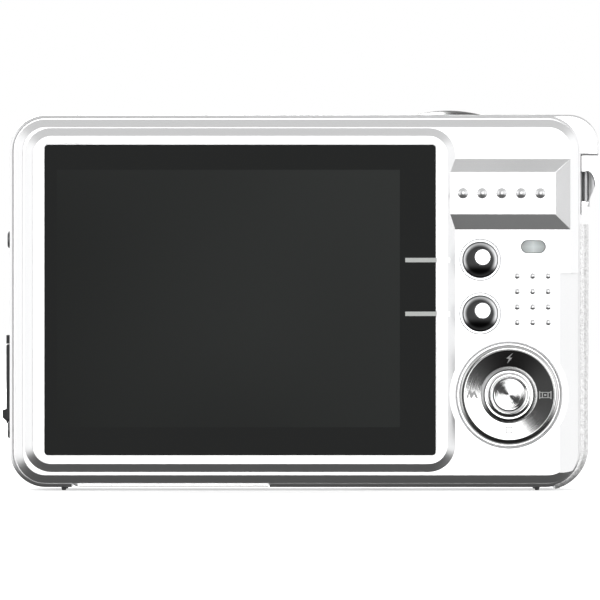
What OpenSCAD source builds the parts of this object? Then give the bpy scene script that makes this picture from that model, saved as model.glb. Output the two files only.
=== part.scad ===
// Compact digital camera, as its user holds it: +X to the user's right, +Y out of the lens, +Z up.
// The origin lies on the table, under the middle of the camera.

/* [Shell] */
// Width of the front shell, without the strap ear and the socket flap
body_w = 91.8; // [88:0.1:112]
// Height of the front shell, without its feet
body_h = 59.8; // [57:0.1:74]
// Depth of the front shell, from the parting plane to the front face
body_d = 16.5; // [15.5:0.1:22]
// Wall of the shells
wall = 1.4; // [1:0.1:1.7]
// Corner radius of the front shell
corner_r = 5.8; // [4:0.1:8]
// Height of the feet
foot_h = 0.5; // [0.3:0.1:1]
// How far the strap ear stands out past the shell
ear_out = 2.8; // [2.2:0.1:4]
// Corner radius of the ear's shoulder
ear_r = 4.8; // [4:0.1:6]

/* [Rear cover] */
// Depth of the rear cover, from the parting plane to its flat back
cover_d = 2.8; // [2.4:0.1:4]
// Width of the bevel round the rear cover
cover_bevel = 1.4; // [1:0.1:1.8]
// How far the screen frame stands out of the back
frame_h = 1.2; // [0.8:0.1:1.8]
// Width of the screen frame at its base
frame_w = 69; // [66:0.1:72]
// Width of the bevel round the screen frame
frame_bevel = 1.1; // [0.6:0.1:1.6]
// How far the thumb pad stands out of the back
pad_h = 0.77; // [0.5:0.01:1.1]

/* [Screen] */
// Width of the picture area, 2.7 inch diagonal
screen_w = 54.9; // [48:0.1:56]
// Height of the picture area
screen_h = 41.2; // [36:0.1:42]
// Thickness of the screen's window
window_t = 0.8; // [0.5:0.1:1]

/* [Buttons] */
// Diameter of the menu and mode buttons
key_d = 5.9; // [4:0.1:6.5]
// Height between the menu and mode buttons
key_pitch = 8.6; // [7.8:0.1:10]
// Diameter of the four-way ring
ring_d = 16; // [14:0.1:17]
// Diameter of the OK button
ok_d = 7.3; // [6:0.1:8.5]
// Diameter of the shutter button
shutter_d = 11.8; // [9:0.1:13]
// Length of the power button
power_l = 6.8; // [5:0.1:8]
// Width of the power button
power_w = 3; // [2:0.1:4]
// Gap all round a button
key_gap = 0.25; // [0.15:0.01:0.3]
// Travel of the rear buttons
key_travel = 0.5; // [0.3:0.05:0.6]
// Travel of the shutter button
shutter_travel = 0.8; // [0.5:0.05:0.9]

/* [Lens and flash] */
// How far the lens ring stands out of the front
lens_h = 3.5; // [2.5:0.1:5]
// Diameter of the lens ring
lens_ring_d = 33; // [28:0.1:35]
// Diameter of the lens barrel
barrel_d = 17; // [14:0.1:18]
// Width of the flash window
flash_w = 14; // [10:0.1:16]
// Height of the flash window
flash_h = 6.5; // [5:0.1:8]

/* [Battery and card] */
// Width of the battery
battery_w = 29.5; // [28:0.1:31]
// Length of the battery
battery_l = 40; // [34:0.1:42]
// Thickness of the battery
battery_t = 5.8; // [5:0.1:6.5]
// Width of the memory card
card_w = 24; // [24:0.1:24]
// Length of the memory card
card_l = 32; // [32:0.1:32]
// Thickness of the memory card
card_t = 2.1; // [2.1:0.1:2.1]
// Radius of the hinge pin of the battery door
door_pin_r = 0.45; // [0.35:0.01:0.5]

/* [Tripod socket] */
// Radius of the 1/4 inch socket's thread
tripod_r = 2.55; // [2.55:0.01:2.55]
// Depth of the thread
tripod_l = 5.5; // [5:0.1:6]

/* [Hidden] */
$fn = 64;

// Thickness of a hull's slabs, facets of their corners, and the clearances of seated and loose pieces
skin = 0.02;
corner_steps = 8;
seat = 0.05;
fit = 0.1;

silver = [0.86, 0.87, 0.88];
chrome = [0.8, 0.81, 0.83];
black = [0.09, 0.09, 0.1];
steel = [0.66, 0.67, 0.69];
board_green = [0.08, 0.33, 0.2];
rubber = [0.2, 0.2, 0.21];

// Outline of the whole camera
tab_out = 1.35;
shell_l = -(body_w + ear_out + tab_out) / 2 + tab_out;
shell_r = shell_l + body_w;
shell_bot = foot_h;
shell_top = shell_bot + body_h;
ear_x = shell_r + ear_out;
frame_y = -(body_d + cover_d + frame_h + lens_h) / 2;
back_y = frame_y + frame_h;
part_y = back_y + cover_d;
front_y = part_y + body_d;
nose_y = front_y + lens_h;

// Insides of the two shells
cover_in_y = back_y + wall;
front_in_y = front_y - wall;
side_in_l = shell_l + wall;
side_in_r = shell_r - wall;
floor_z = shell_bot + wall;
roof_z = shell_top - wall;
edge_r = 2.2;
rear_round = 0.7;

// The rear cover's outline lies a little inside the shell's
cover_l = shell_l + 0.95;
cover_r = shell_r - 0.55;
cover_bot = shell_bot + 0.7;
cover_top = shell_top - 0.6;
cover_r_corner = corner_r - 0.9;
bevel_depth = 1.5;
grip_bevel_w = 3.1;
grip_bevel_depth = 1.8;
grip_bevel_top = shell_bot + 34.4;
cover_thick_r = 2;

// Screen frame, window and picture
frame_l = shell_l + 2.5;
frame_r = frame_l + frame_w;
frame_bot = shell_bot + 2.5;
frame_top = shell_top - 2.2;
frame_corner = 4.3;
rim = 2.2;
window_l = frame_l + frame_bevel + rim;
window_r = frame_r - frame_bevel - rim;
window_bot = frame_bot + frame_bevel + rim - 0.35;
window_top = frame_top - frame_bevel - rim + 0.35;
window_corner = 0.8;
window_sink = 0.25;
window_y = frame_y + window_sink;
window_back = window_y + window_t;
screen_l = window_l + 1.9;
screen_bot = window_bot + 4.25;
lip = 0.7;
panel_margin = 1.6;
panel_y = cover_in_y + fit;
panel_t = 1.2;
backlight_t = 1.2;
backlight_y = panel_y + panel_t;

// Controls on the back, from the right side and the bottom
key_x = shell_r - 16.3;
dial_x = shell_r - 11.7;
dial_z = shell_bot + 14.85;
mode_z = dial_z + 13.05;
menu_z = mode_z + key_pitch;
light_x = shell_r - 7.8;
light_z = menu_z + 2.1;
light_w = 4;
light_t = 2.1;
dots_x = shell_r - 10.4;
dots_z = dial_z + 19.05;
dots_pitch = 2.48;
dial_land_r = ring_d / 2 + 1.5;
ring_r = ring_d / 2;
ok_r = ok_d / 2;
ring_hole_r = ok_r + 0.2;
key_r = key_d / 2;
key_dome = 0.7;
ring_face_y = back_y - 0.8;
flange_y = cover_in_y + 0.15;
flange_t = 0.4;
key_board_y = part_y + 0.4;
key_board_t = 0.7;
switch_h = key_board_y - (flange_y + flange_t) - key_travel - fit;

// Thumb pad
pad_top = shell_top - 7.1;
pad_bot = pad_top - 11.4;
pad_flat_top = pad_top - 2.2;
pad_flat_bot = pad_bot + 2.5;
pad_r = cover_r - 1.25;
pad_flat_r = pad_r - 2.5;
bump_r = 0.85;
bump_h = 0.5;
bump_x = key_x - 2.8;
bump_z = (pad_flat_top + pad_flat_bot) / 2;
bump_pitch = 3.1;

// Battery bay, card and door
bay_wall = 0.8;
bay_l = shell_l + 10.4;
bay_slot_l = bay_l + bay_wall;
bay_slot_r = bay_slot_l + battery_w + 0.7;
bay_r = bay_slot_r + bay_wall;
chassis_y = backlight_y + backlight_t + fit;
chassis_t = 0.5;
bay_y = chassis_y + chassis_t + fit;
card_y = bay_y + 0.6 + 0.15;
card_slot_y = card_y + card_t + 0.15;
battery_y = card_slot_y + 0.5 + 0.15;
battery_slot_y = battery_y + battery_t + 0.15;
bay_front_y = battery_slot_y + 0.6;
bay_bot = floor_z + 1.2;
battery_z = floor_z + 1.3;
battery_x = (bay_slot_l + bay_slot_r) / 2;
bay_top = battery_z + battery_l + 2.8;
card_z = floor_z + 1.5;
card_x = battery_x;
card_travel = 0.8;
door_t = 1;
door_l = bay_l;
door_r = bay_slot_r + 0.2;
door_front = bay_front_y + 0.45;
door_gap = 0.15;
door_z = shell_bot + fit;
hinge_x = door_l + 0.6;
hinge_z = shell_bot + 1;
knuckle_r = 0.9;
swing_r = 1.35;
door_latch_w = 7;
door_latch_travel = 2;
notch_x = door_r - 11;

// Lens, on the front between the bay and the grip
lens_x = bay_r + 11.4;
lens_z = (shell_bot + shell_top) / 2 - 0.4;
ring_or = lens_ring_d / 2;
ring_ir = ring_or - 3.9;
barrel_r = barrel_d / 2;
cone_r = ring_ir - fit;
board_y = chassis_y + chassis_t + 0.7;
board_t = 0.8;
sensor_board_y = board_y + board_t + 0.5;
sensor_y = sensor_board_y + 0.6;
filter_y = sensor_y + 0.8;
barrel_y = sensor_board_y + 0.6;

// Controls and parts under the top
shutter_x = shell_r - 21.3;
shutter_r = shutter_d / 2;
cup_r = shutter_r + key_gap;
cup_or = cup_r + 0.35;
cup_floor = shell_top - 4;
dome_h = 0.85;
power_x = shutter_x - 13.9;
scoop_l = power_l + 3.2;
scoop_w = power_w + 2.4;
scoop_depth = 0.4;
plate_l = power_x - 9;
plate_r = shutter_x - cup_or - 0.8;
plate_half = 4;
top_mid_y = -0.5;
top_board_z = cup_floor - 3.4;
top_switch_h = 0.6;
flange_bottom = cup_floor - 0.6;

// Flash, in the front above the battery
flash_x = bay_l + 14;
flash_z = shell_top - 9.3;
reflector_y = front_in_y - 5;

// Strap ear, lug and grip on the right
ear_y0 = part_y + 0.3;
ear_y1 = front_y - edge_r;
ear_bot = shell_top - 6.5;
lug_bot = ear_bot - 9.5;
lug_knee = ear_bot - 3.4;
slot_bot = ear_bot - 7.4;
slot_top = ear_bot - 2.6;
slot_w = 1.75;
slot_end_y = 1.5;
grip_t = 1.2;
grip_top = lug_bot - 1.2;
grip_end_x = shell_r - 4.2;
grip_pad_l = shell_r - 13;
grip_pad_h = 1.9;

// Socket on the left side
usb_bot = shell_bot + 11.6;
usb_top = shell_bot + 21.3;
usb_half = 2.2;
flap_bot = usb_bot - 1.4;
flap_pivot_z = usb_top + 1.3;
flap_t = 0.65;
flap_half = 3.2;
flap_r = flap_t / 2;
flap_x = shell_l - seat - flap_r;
flap_root_z = flap_pivot_z + 0.8;

tripod_x = lens_x + 6;
tripod_or = 4.5;
screw_r = 1.35;
side_screw_y = part_y + 2.8;
side_screw_z = [shell_bot + 9.2, shell_bot + 39.8];
bottom_screw_x = [shell_l + corner_r + 1.5, tripod_x + 14];
bottom_screw_y = 2;
foot_x = [shell_l + 8.7, shell_r - 7.1];
foot_y = [part_y + 1.3, front_y - 4];
foot_r = 0.6;

// ---- shapes shared by the sub-parts ----

module along_x(x0, x1) {
    translate([x0, 0, 0]) rotate([90, 0, 90]) linear_extrude(x1 - x0) children();
}

module along_y(y0, y1) {
    translate([0, y1, 0]) rotate([90, 0, 0]) linear_extrude(y1 - y0) children();
}

module along_z(z0, z1) {
    translate([0, 0, z0]) linear_extrude(z1 - z0) children();
}

module block(x0, x1, y0, y1, z0, z1) {
    translate([x0, y0, z0]) cube([x1 - x0, y1 - y0, z1 - z0]);
}

module rod_x(x0, x1, y, z, r) {
    along_x(x0, x1) translate([y, z]) circle(r);
}

module rod_y(y0, y1, x, z, r) {
    along_y(y0, y1) translate([x, z]) circle(r);
}

module rod_z(z0, z1, x, y, r) {
    along_z(z0, z1) translate([x, y]) circle(r);
}

// A rectangle with round corners, from corner (a0, b0) to corner (a1, b1)
module round_rect(a0, a1, b0, b1, r) {
    translate([a0 + r, b0]) square([a1 - a0 - 2 * r, b1 - b0]);
    translate([a0, b0 + r]) square([a1 - a0, b1 - b0 - 2 * r]);
    for (a = [a0 + r, a1 - r], b = [b0 + r, b1 - r]) translate([a, b]) circle(r);
}

// A slot-shaped outline, l long along the first axis and w wide
module obround(a, b, l, w) {
    translate([a - (l - w) / 2, b - w / 2]) square([l - w, w]);
    for (s = [-1, 1]) translate([a + s * (l - w) / 2, b]) circle(w / 2);
}

// Points round a rectangle with round corners, each corner in corner_steps steps
function round_points(x0, x1, z0, z1, r) = [
    for (c = [[x1 - r, z1 - r, 0], [x0 + r, z1 - r, 90], [x0 + r, z0 + r, 180], [x1 - r, z0 + r, 270]],
        i = [0:corner_steps])
        let (a = c[2] + 90 * i / corner_steps) [c[0] + r * cos(a), c[1] + r * sin(a)]];

// One thin slab of a hull, square to Y
module slab(y, x0, x1, z0, z1, r) {
    along_y(y, y + skin) polygon(round_points(x0, x1, z0, z1, r));
}

// A turned shape about an axis along Y: points are [radius, y]
module turned_y(x, z, points) {
    translate([x, 0, z]) rotate([-90, 0, 0]) rotate_extrude() polygon(points);
}

// A turned shape about an axis along Z: points are [radius, z]
module turned_z(x, y, points) {
    translate([x, y, 0]) rotate_extrude() polygon(points);
}

// Points of a domed face, from its middle to its rim at height v0, h high and facing up or down
function dome(r, v0, h, n = 8) =
    let (big = (r * r + h * h) / (2 * abs(h)), s = sign(h))
    [for (i = [0:n]) let (u = r * i / n) [u, v0 + s * (sqrt(big * big - u * u) - big) + h]];

// ---- front shell ----

module shell_slab(y, inset) {
    slab(y, shell_l + inset, shell_r - inset, shell_bot + inset, shell_top - inset, corner_r - inset);
}

module shell_form() {
    hull() {
        shell_slab(part_y, rear_round);
        shell_slab(part_y + rear_round, 0);
        shell_slab(front_y - edge_r, 0);
        shell_slab(front_y - edge_r * 0.42, edge_r * 0.18);
        shell_slab(front_y - skin, edge_r);
    }
}

module ear_outline() {
    difference() {
        union() {
            translate([ear_x - ear_r, shell_top - ear_r]) circle(ear_r);
            translate([shell_r - corner_r - 1, ear_bot]) square([corner_r + 1 + ear_out - ear_r, shell_top - ear_bot]);
            translate([shell_r - 1, ear_bot]) square([ear_out + 1, shell_top - ear_r - ear_bot]);
        }
        translate([shell_r - 10, ear_bot - 10]) square([20, 10]);
    }
}

module door_opening() {
    block(door_l - door_gap, door_r + door_gap, part_y - 1, door_front + door_gap, shell_bot - 1, floor_z + 1);
    rod_y(part_y - 1, door_front + door_gap, hinge_x, hinge_z, swing_r);
}

module top_opening(gap) {
    along_z(shell_top - wall - 1, shell_top + 1)
        round_rect(plate_l - gap, plate_r + gap, top_mid_y - plate_half - gap, top_mid_y + plate_half + gap, 2);
}

module side_screw_seats() {
    for (z = side_screw_z) rod_x(shell_l - 1, side_in_l + 1, side_screw_y, z, screw_r + fit - 0.5);
}

module front_shell() color(silver) difference() {
    union() {
        shell_form();
        along_y(ear_y0, ear_y1) ear_outline();
    }
    along_y(part_y - 1, front_in_y) round_rect(side_in_l, side_in_r, floor_z, roof_z, corner_r - wall);
    door_opening();
    top_opening(seat);
    rod_z(roof_z - 1, shell_top + 1, shutter_x, top_mid_y, cup_or + seat);
    rod_y(front_in_y - 1, front_y + 1, lens_x, lens_z, ring_ir + seat);
    along_y(front_in_y - 1, front_y + 1)
        round_rect(flash_x - flash_w / 2 - seat, flash_x + flash_w / 2 + seat,
            flash_z - flash_h / 2 - seat, flash_z + flash_h / 2 + seat, 1);
    rod_y(front_in_y - 1, front_y + 1, lens_x + ring_or + 1.5, flash_z, 1.3 + seat);
    rod_y(front_in_y - 1, front_y + 1, lens_x - ring_or - 1.5, lens_z + 14, 0.5);
    along_x(shell_l - 1, side_in_l + 1) round_rect(-usb_half, usb_half, usb_bot, usb_top, 0.6);
    block(shell_l - 1, side_in_l + 1, -1.2 - seat, 1.2 + seat, flap_root_z - seat, flap_root_z + 0.8 + seat);
    side_screw_seats();
    rod_z(shell_bot - 1, floor_z + 1, tripod_x, 0, tripod_or + seat);
    for (x = bottom_screw_x) rod_z(shell_bot - 1, floor_z + 1, x, bottom_screw_y, screw_r + fit);
    for (x = foot_x, y = foot_y) rod_z(shell_bot - 1, shell_bot + 0.6, x, y, foot_r + seat);
}

// ---- rear cover ----

module cover_slab(y, inset) {
    slab(y, cover_l + inset, cover_r - inset, cover_bot + inset, cover_top - inset,
        max(cover_r_corner - inset, 1));
}

module cover_form() {
    hull() {
        cover_slab(part_y - skin, 0);
        cover_slab(back_y + bevel_depth, 0);
        cover_slab(back_y, cover_bevel);
    }
}

// The wide bevel beside the grip, cut along the right edge below grip_bevel_top
module grip_bevel() {
    along_z(shell_bot - 1, grip_bevel_top) polygon([
        [cover_r - grip_bevel_w, back_y],
        [cover_r + 1, back_y + grip_bevel_depth * (grip_bevel_w + 1) / grip_bevel_w],
        [cover_r + 1, back_y - 1],
        [cover_r - grip_bevel_w, back_y - 1]]);
}

module screen_frame() {
    hull() {
        slab(back_y + 0.3, frame_l, frame_r, frame_bot, frame_top, frame_corner);
        slab(back_y, frame_l, frame_r, frame_bot, frame_top, frame_corner);
        slab(frame_y, frame_l + frame_bevel, frame_r - frame_bevel, frame_bot + frame_bevel,
            frame_top - frame_bevel, frame_corner - frame_bevel);
    }
}

module thumb_pad() {
    hull() {
        block(frame_r - 1.5, pad_r, back_y, back_y + 0.3, pad_bot, pad_top);
        block(frame_r - 1.5, pad_flat_r, back_y - pad_h, back_y, pad_flat_bot, pad_flat_top);
    }
}

// A round cap that faces the user
module cap_y(x, z, r, y, h) {
    turned_y(x, z, concat([[0, y + 0.3]], dome(r, y, -h), [[r, y + 0.3]]));
}

module rear_cover() color(silver) difference() {
    union() {
        difference() {
            cover_form();
            grip_bevel();
        }
        difference() {
            union() {
                screen_frame();
                thumb_pad();
            }
            rod_y(frame_y - 1, back_y, dial_x, dial_z, dial_land_r);
        }
        rod_y(back_y, cover_in_y + 0.2, dial_x, dial_z, dial_land_r);
        for (i = [0:4]) cap_y(bump_x + i * bump_pitch, bump_z, bump_r, back_y - pad_h, bump_h);
        for (i = [0:2], k = [0:3])
            cap_y(dots_x + i * dots_pitch, dots_z - k * dots_pitch, 0.46, back_y, 0.2);
    }
    along_y(cover_in_y, part_y + 1)
        round_rect(cover_l + wall, cover_r - cover_thick_r, cover_bot + wall, cover_top - wall, 3);
    along_y(frame_y - 1, window_back)
        round_rect(window_l, window_r, window_bot, window_top, window_corner);
    block(screen_l - lip, screen_l + screen_w + lip, frame_y, part_y, screen_bot - lip, screen_bot + screen_h + lip);
    for (z = [menu_z, mode_z]) rod_y(back_y - 1, part_y, key_x, z, key_r + key_gap);
    rod_y(back_y - 1, part_y, dial_x, dial_z, ring_r + key_gap);
    along_y(back_y - 1, part_y) obround(light_x, light_z, light_w, light_t);
}

// ---- right side ----

module strap_lug() color(silver) difference() {
    along_y(ear_y0, ear_y1) polygon([
        [shell_r + seat, ear_bot - seat],
        [ear_x, ear_bot - seat],
        [ear_x, lug_knee],
        [shell_r + 0.4, lug_bot],
        [shell_r + seat, lug_bot]]);
    block(shell_r - 1, shell_r + slot_w, ear_y0 - 1, slot_end_y, slot_bot, slot_top);
    rod_z(slot_bot - 0.8, slot_top + 0.8, shell_r + slot_w / 2, ear_y0 + 3.2, 0.6);
}

module strap_bar() color(steel)
    rod_z(slot_bot - 0.8, slot_top + 0.8, shell_r + slot_w / 2, ear_y0 + 3.2, 0.6);

module grip_slab(y, inset) {
    slab(y, grip_pad_l + inset, shell_r + grip_t - inset, shell_bot + 3 + inset, grip_top - inset, 4 - inset / 2);
}

module side_grip() color([0.74, 0.75, 0.76]) difference() {
    union() {
        along_y(part_y + 0.2, front_y - edge_r + 0.4) intersection() {
            round_rect(shell_l, shell_r + grip_t, 0, grip_top + corner_r, corner_r + grip_t);
            translate([grip_end_x, 0]) square([corner_r + grip_t + 2, grip_top - 0.4]);
        }
        hull() {
            grip_slab(front_y - edge_r, 0);
            grip_slab(front_y + grip_pad_h * 0.5, 0.3);
            grip_slab(front_y + grip_pad_h, 2);
        }
    }
    shell_form();
}

// ---- top ----

module top_plate() color(silver) difference() {
    union() {
        intersection() {
            top_opening(0);
            block(plate_l - 1, plate_r + 1, -plate_half - 2, plate_half + 2, roof_z - 0.5, shell_top);
        }
        block(plate_l - 0.8, plate_r, top_mid_y - plate_half - 0.8, top_mid_y + plate_half + 0.8,
            roof_z - 0.9, roof_z - seat);
    }
    along_z(shell_top - scoop_depth, shell_top + 1) obround(power_x, top_mid_y, scoop_l, scoop_w);
    along_z(roof_z - 2, shell_top) obround(power_x, top_mid_y, power_l + 2 * key_gap, power_w + 2 * key_gap);
}

module shutter_cup() color(chrome) turned_z(shutter_x, top_mid_y, [
    [cup_or, shell_top + 0.05],
    [cup_r, shell_top + 0.05],
    [cup_r, cup_floor + 0.6],
    [1.8, cup_floor + 0.6],
    [1.8, cup_floor],
    [cup_or, cup_floor]]);

module shutter_button() color([0.5, 0.5, 0.5]) turned_z(shutter_x, top_mid_y, concat(
    dome(shutter_r, shell_top, dome_h), [
    [shutter_r, shell_top - 1.2],
    [shutter_r - 0.9, shell_top - 1.2],
    [shutter_r - 0.9, shell_top - 0.4],
    [1.4, shell_top - 0.4],
    [1.4, cup_floor - 0.2],
    [2.4, cup_floor - 0.2],
    [2.4, flange_bottom],
    [0, flange_bottom]]));

// Wire swept along a helix of four turns
spring_turns = 4;
spring_r = 3.2;
wire_r = 0.2;
spring_bot = cup_floor + 0.6 + wire_r;
spring_top = shell_top - 0.4 - wire_r;
spring_steps = 12;
wire_sides = 6;
function on_spring(i) = let (a = 360 * i / spring_steps, n = spring_turns * spring_steps) [
    spring_r * cos(a), spring_r * sin(a), spring_bot + (spring_top - spring_bot) * i / n, a];

module shutter_spring() color(steel) translate([shutter_x, top_mid_y, 0]) {
    n = spring_turns * spring_steps;
    points = [for (i = [0:n], k = [0:wire_sides - 1])
        let (p = on_spring(i), b = 360 * k / wire_sides)
        [p[0] + wire_r * cos(b) * cos(p[3]), p[1] + wire_r * cos(b) * sin(p[3]), p[2] + wire_r * sin(b)]];
    sides = [for (i = [0:n - 1], k = [0:wire_sides - 1])
        let (a = i * wire_sides + k, b = i * wire_sides + (k + 1) % wire_sides)
        [a, a + wire_sides, b + wire_sides, b]];
    ends = [[for (k = [0:wire_sides - 1]) k],
        [for (k = [wire_sides - 1:-1:0]) n * wire_sides + k]];
    polyhedron(points, concat(sides, ends));
}

module power_button() color(chrome) union() {
    along_z(roof_z - 1.7, shell_top) obround(power_x, top_mid_y, power_l, power_w);
    along_z(roof_z - 1.7, roof_z - 1.2) obround(power_x, top_mid_y, power_l + 1, power_w + 1);
    rod_z(top_board_z + 0.8 + top_switch_h + key_travel + fit, roof_z - 1.6, power_x, top_mid_y, 0.8);
}

module top_board() color(board_green)
    block(power_x - 6, shutter_x + 6, top_mid_y - 3.5, top_mid_y + 3.5, top_board_z, top_board_z + 0.8);

module top_switches() color(steel)
    for (x = [power_x, shutter_x])
        block(x - 1.6, x + 1.6, top_mid_y - 1.6, top_mid_y + 1.6, top_board_z + 0.8, top_board_z + 0.8 + top_switch_h);

// ---- screen ----

module screen_window() color(black) along_y(window_y, window_back)
    round_rect(window_l + 0.3, window_r - 0.3, window_bot + 0.3, window_top - 0.3, window_corner - 0.2);

module screen_panel() color([0.2, 0.22, 0.21])
    block(screen_l - panel_margin, screen_l + screen_w + panel_margin, panel_y, panel_y + panel_t,
        screen_bot - panel_margin, screen_bot + screen_h + panel_margin);

module screen_backlight() color(steel)
    block(screen_l - panel_margin - 0.4, screen_l + screen_w + panel_margin + 0.4, backlight_y,
        backlight_y + backlight_t, screen_bot - panel_margin - 2.2, screen_bot + screen_h + panel_margin + 0.4);

module screen_flex() color([0.75, 0.45, 0.1]) {
    flex_t = 0.15;
    y0 = backlight_y + backlight_t - flex_t - 0.2;
    y1 = board_y + board_t;
    z0 = screen_bot - panel_margin - 2.2;
    along_x(lens_x - 6, lens_x + 4) polygon([
        [y0, z0], [y0, z0 - 2], [y1 + flex_t, z0 - 2], [y1 + flex_t, z0 + 3],
        [y1, z0 + 3], [y1, z0 - 2 + flex_t], [y0 + flex_t, z0 - 2 + flex_t], [y0 + flex_t, z0]]);
}

// ---- buttons on the back ----

module key_cap(z) {
    cap_y(key_x, z, key_r, back_y - 0.1, key_dome);
    rod_y(back_y - 0.1, flange_y + flange_t, key_x, z, key_r);
    rod_y(flange_y, flange_y + flange_t, key_x, z, key_r + 0.75);
}

module menu_button() color(chrome) key_cap(menu_z);

module mode_button() color(chrome) key_cap(mode_z);

// Room under the cover for the ring's flange to lift as the ring tilts to a corner
ring_tilt_room = 0.5;
ring_flange_y = cover_in_y + ring_tilt_room;
ring_flange_t = 0.35;
groove_r = ring_hole_r + 0.65;

module four_way_ring() color(chrome) turned_y(dial_x, dial_z, [
    [ring_r - 0.9, ring_face_y],
    [ring_r - 0.25, ring_face_y + 0.2],
    [ring_r, ring_face_y + 0.7],
    [ring_r, ring_flange_y],
    [ring_r + 0.9, ring_flange_y],
    [ring_r + 0.9, ring_flange_y + ring_flange_t],
    [groove_r + 0.7, ring_flange_y + ring_flange_t],
    [groove_r + 0.7, ring_face_y + 1.2],
    [ring_hole_r, ring_face_y + 1.2],
    [ring_hole_r, ring_face_y + 0.4],
    [groove_r, ring_face_y + 0.4],
    [groove_r, ring_face_y]]);

module four_way_gimbal() color([0.85, 0.85, 0.82]) difference() {
    rod_y(ring_flange_y + 0.2, ring_flange_y + 0.55, dial_x, dial_z, ok_r + 0.75);
    rod_y(ring_flange_y, ring_flange_y + 1, dial_x, dial_z, ok_r - 0.25);
}

module ok_button() color(chrome) turned_y(dial_x, dial_z, [
    [0, ring_face_y + 0.15],
    [ok_r - 0.9, ring_face_y + 0.15],
    [ok_r - 0.65, ring_face_y - 0.1],
    [ok_r - 0.3, ring_face_y - 0.1],
    [ok_r, ring_face_y + 0.2],
    [ok_r, ring_face_y + 1.7],
    [ok_r + 0.9, ring_face_y + 1.7],
    [ok_r + 0.9, ring_face_y + 2.1],
    [1.5, ring_face_y + 2.1],
    [1.5, flange_y + flange_t],
    [0, flange_y + flange_t]]);

module status_light_pipe() color([1, 0.93, 0.8])
    along_y(back_y + 0.2, key_board_y) obround(light_x, light_z, light_w - 0.1, light_t - 0.1);

module key_board() color(board_green)
    block(key_x - 5, cover_r - cover_thick_r - 0.4, key_board_y, key_board_y + key_board_t, cover_bot + wall + 0.8, light_z + 2);

module key_switch(x, z, h) {
    block(x - 1.5, x + 1.5, key_board_y - h, key_board_y, z - 1.5, z + 1.5);
}

module key_switches() color(steel) {
    for (z = [menu_z, mode_z]) key_switch(key_x, z, switch_h);
    key_switch(dial_x, dial_z, switch_h);
    for (a = [0:90:270])
        key_switch(dial_x + (ring_r - 1.7) * cos(a), dial_z + (ring_r - 1.7) * sin(a),
            key_board_y - ring_flange_y - ring_flange_t - 0.35);
}

module speaker() color(black)
    rod_y(cover_in_y + fit, key_board_y, dots_x + dots_pitch, dots_z - 1.5 * dots_pitch, 4.1);

// ---- boards and chassis ----

module main_board() color(board_green) difference() {
    block(bay_r + 0.9, side_in_r - 2, board_y, board_y + board_t, floor_z + 4.4, top_board_z - 0.5);
    for (z = [floor_z + 7, top_board_z - 3]) rod_y(board_y - 1, board_y + 2, side_in_r - 4, z, 1.1);
}

module board_chips() color(black) {
    y = board_y + board_t;
    block(lens_x + 11, lens_x + 20, y, y + 1.1, lens_z + 2, lens_z + 11);
    block(lens_x + 11, lens_x + 18, y, y + 0.9, lens_z - 9, lens_z - 2);
    block(lens_x + 12, lens_x + 18, y, y + 0.8, lens_z - 19, lens_z - 13);
    for (i = [0:3]) block(lens_x + 10.5 + 2 * i, lens_x + 11.5 + 2 * i, y, y + 0.6, lens_z + 14, lens_z + 15.8);
}

module chassis() color(steel) difference() {
    union() {
        block(side_in_l + 1, side_in_r - 1.2, chassis_y, chassis_y + chassis_t, floor_z + 2, roof_z - 2);
        for (z = side_screw_z) block(side_in_l + fit, side_in_l + 1.3, chassis_y, side_screw_y + 3, z - 3, z + 3);
        for (z = [shell_bot + 9.2, shell_bot + 39.8])
            block(side_in_r - 1.7, side_in_r - 1.2, chassis_y, chassis_y + 6, z - 3, z + 3);
    }
    side_screw_holes(screw_r - 0.6);
    block(shutter_x - cup_or - 0.3, shutter_x + cup_or + 0.3, chassis_y - 1, chassis_y + 1, cup_floor - 0.3, roof_z);
    along_y(chassis_y - 1, chassis_y + 1)
        round_rect(lens_x - 8, lens_x + 6, floor_z + 1.5, screen_bot + 4, 0.5);
    along_y(chassis_y - 1, chassis_y + 1)
        round_rect(lens_x + 10, key_x - 7, lens_z - 12, lens_z + 12, 2);
}

module side_screw_holes(r) {
    for (z = side_screw_z) rod_x(shell_l - 1, side_in_l + 4, side_screw_y, z, r);
}

module side_screws() color(steel)
    for (z = side_screw_z) difference() {
        union() {
            rod_x(shell_l - 0.4, shell_l - seat, side_screw_y, z, screw_r);
            rod_x(shell_l - 0.2, side_in_l + 2.2, side_screw_y, z, screw_r - 0.6);
        }
        for (a = [0, 90]) translate([shell_l - 0.5, side_screw_y, z]) rotate([a, 0, 0])
            translate([0, -0.8, -0.15]) cube([0.35, 1.6, 0.3]);
    }

module bottom_screws() color(steel)
    for (x = bottom_screw_x) difference() {
        union() {
            rod_z(shell_bot + 0.25, shell_bot + 1, x, bottom_screw_y, screw_r);
            rod_z(shell_bot + 0.8, floor_z + 3.5, x, bottom_screw_y, screw_r - 0.6);
        }
        for (a = [0, 90]) translate([x, bottom_screw_y, shell_bot]) rotate([0, 0, a])
            translate([-0.8, -0.15, 0]) cube([1.6, 0.3, 0.6]);
    }

module feet() color(rubber)
    for (x = foot_x, y = foot_y) rod_z(0, shell_bot + 0.55, x, y, foot_r);

// ---- battery, card and door ----

module battery_bay() color(black) difference() {
    block(bay_l, bay_r, bay_y, bay_front_y, bay_bot, bay_top);
    block(bay_slot_l, bay_slot_r, card_slot_y + 0.5, battery_slot_y, bay_bot - 1, bay_top - bay_wall);
    block(card_x - card_w / 2 - 0.15, card_x + card_w / 2 + 0.15, card_y - 0.15, card_slot_y,
        bay_bot - 1, card_z + card_l + 2.2);
    block(latch_x - 3.2, latch_x + 3.2, battery_y + battery_t - 1.5, bay_front_y + 1, bay_bot - 1, bay_bot + 0.6);
    block(latch_x - 1.2, latch_x + 1.2, battery_slot_y - 1, bay_front_y + 1, bay_bot, bay_bot + 6.5);
}

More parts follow.
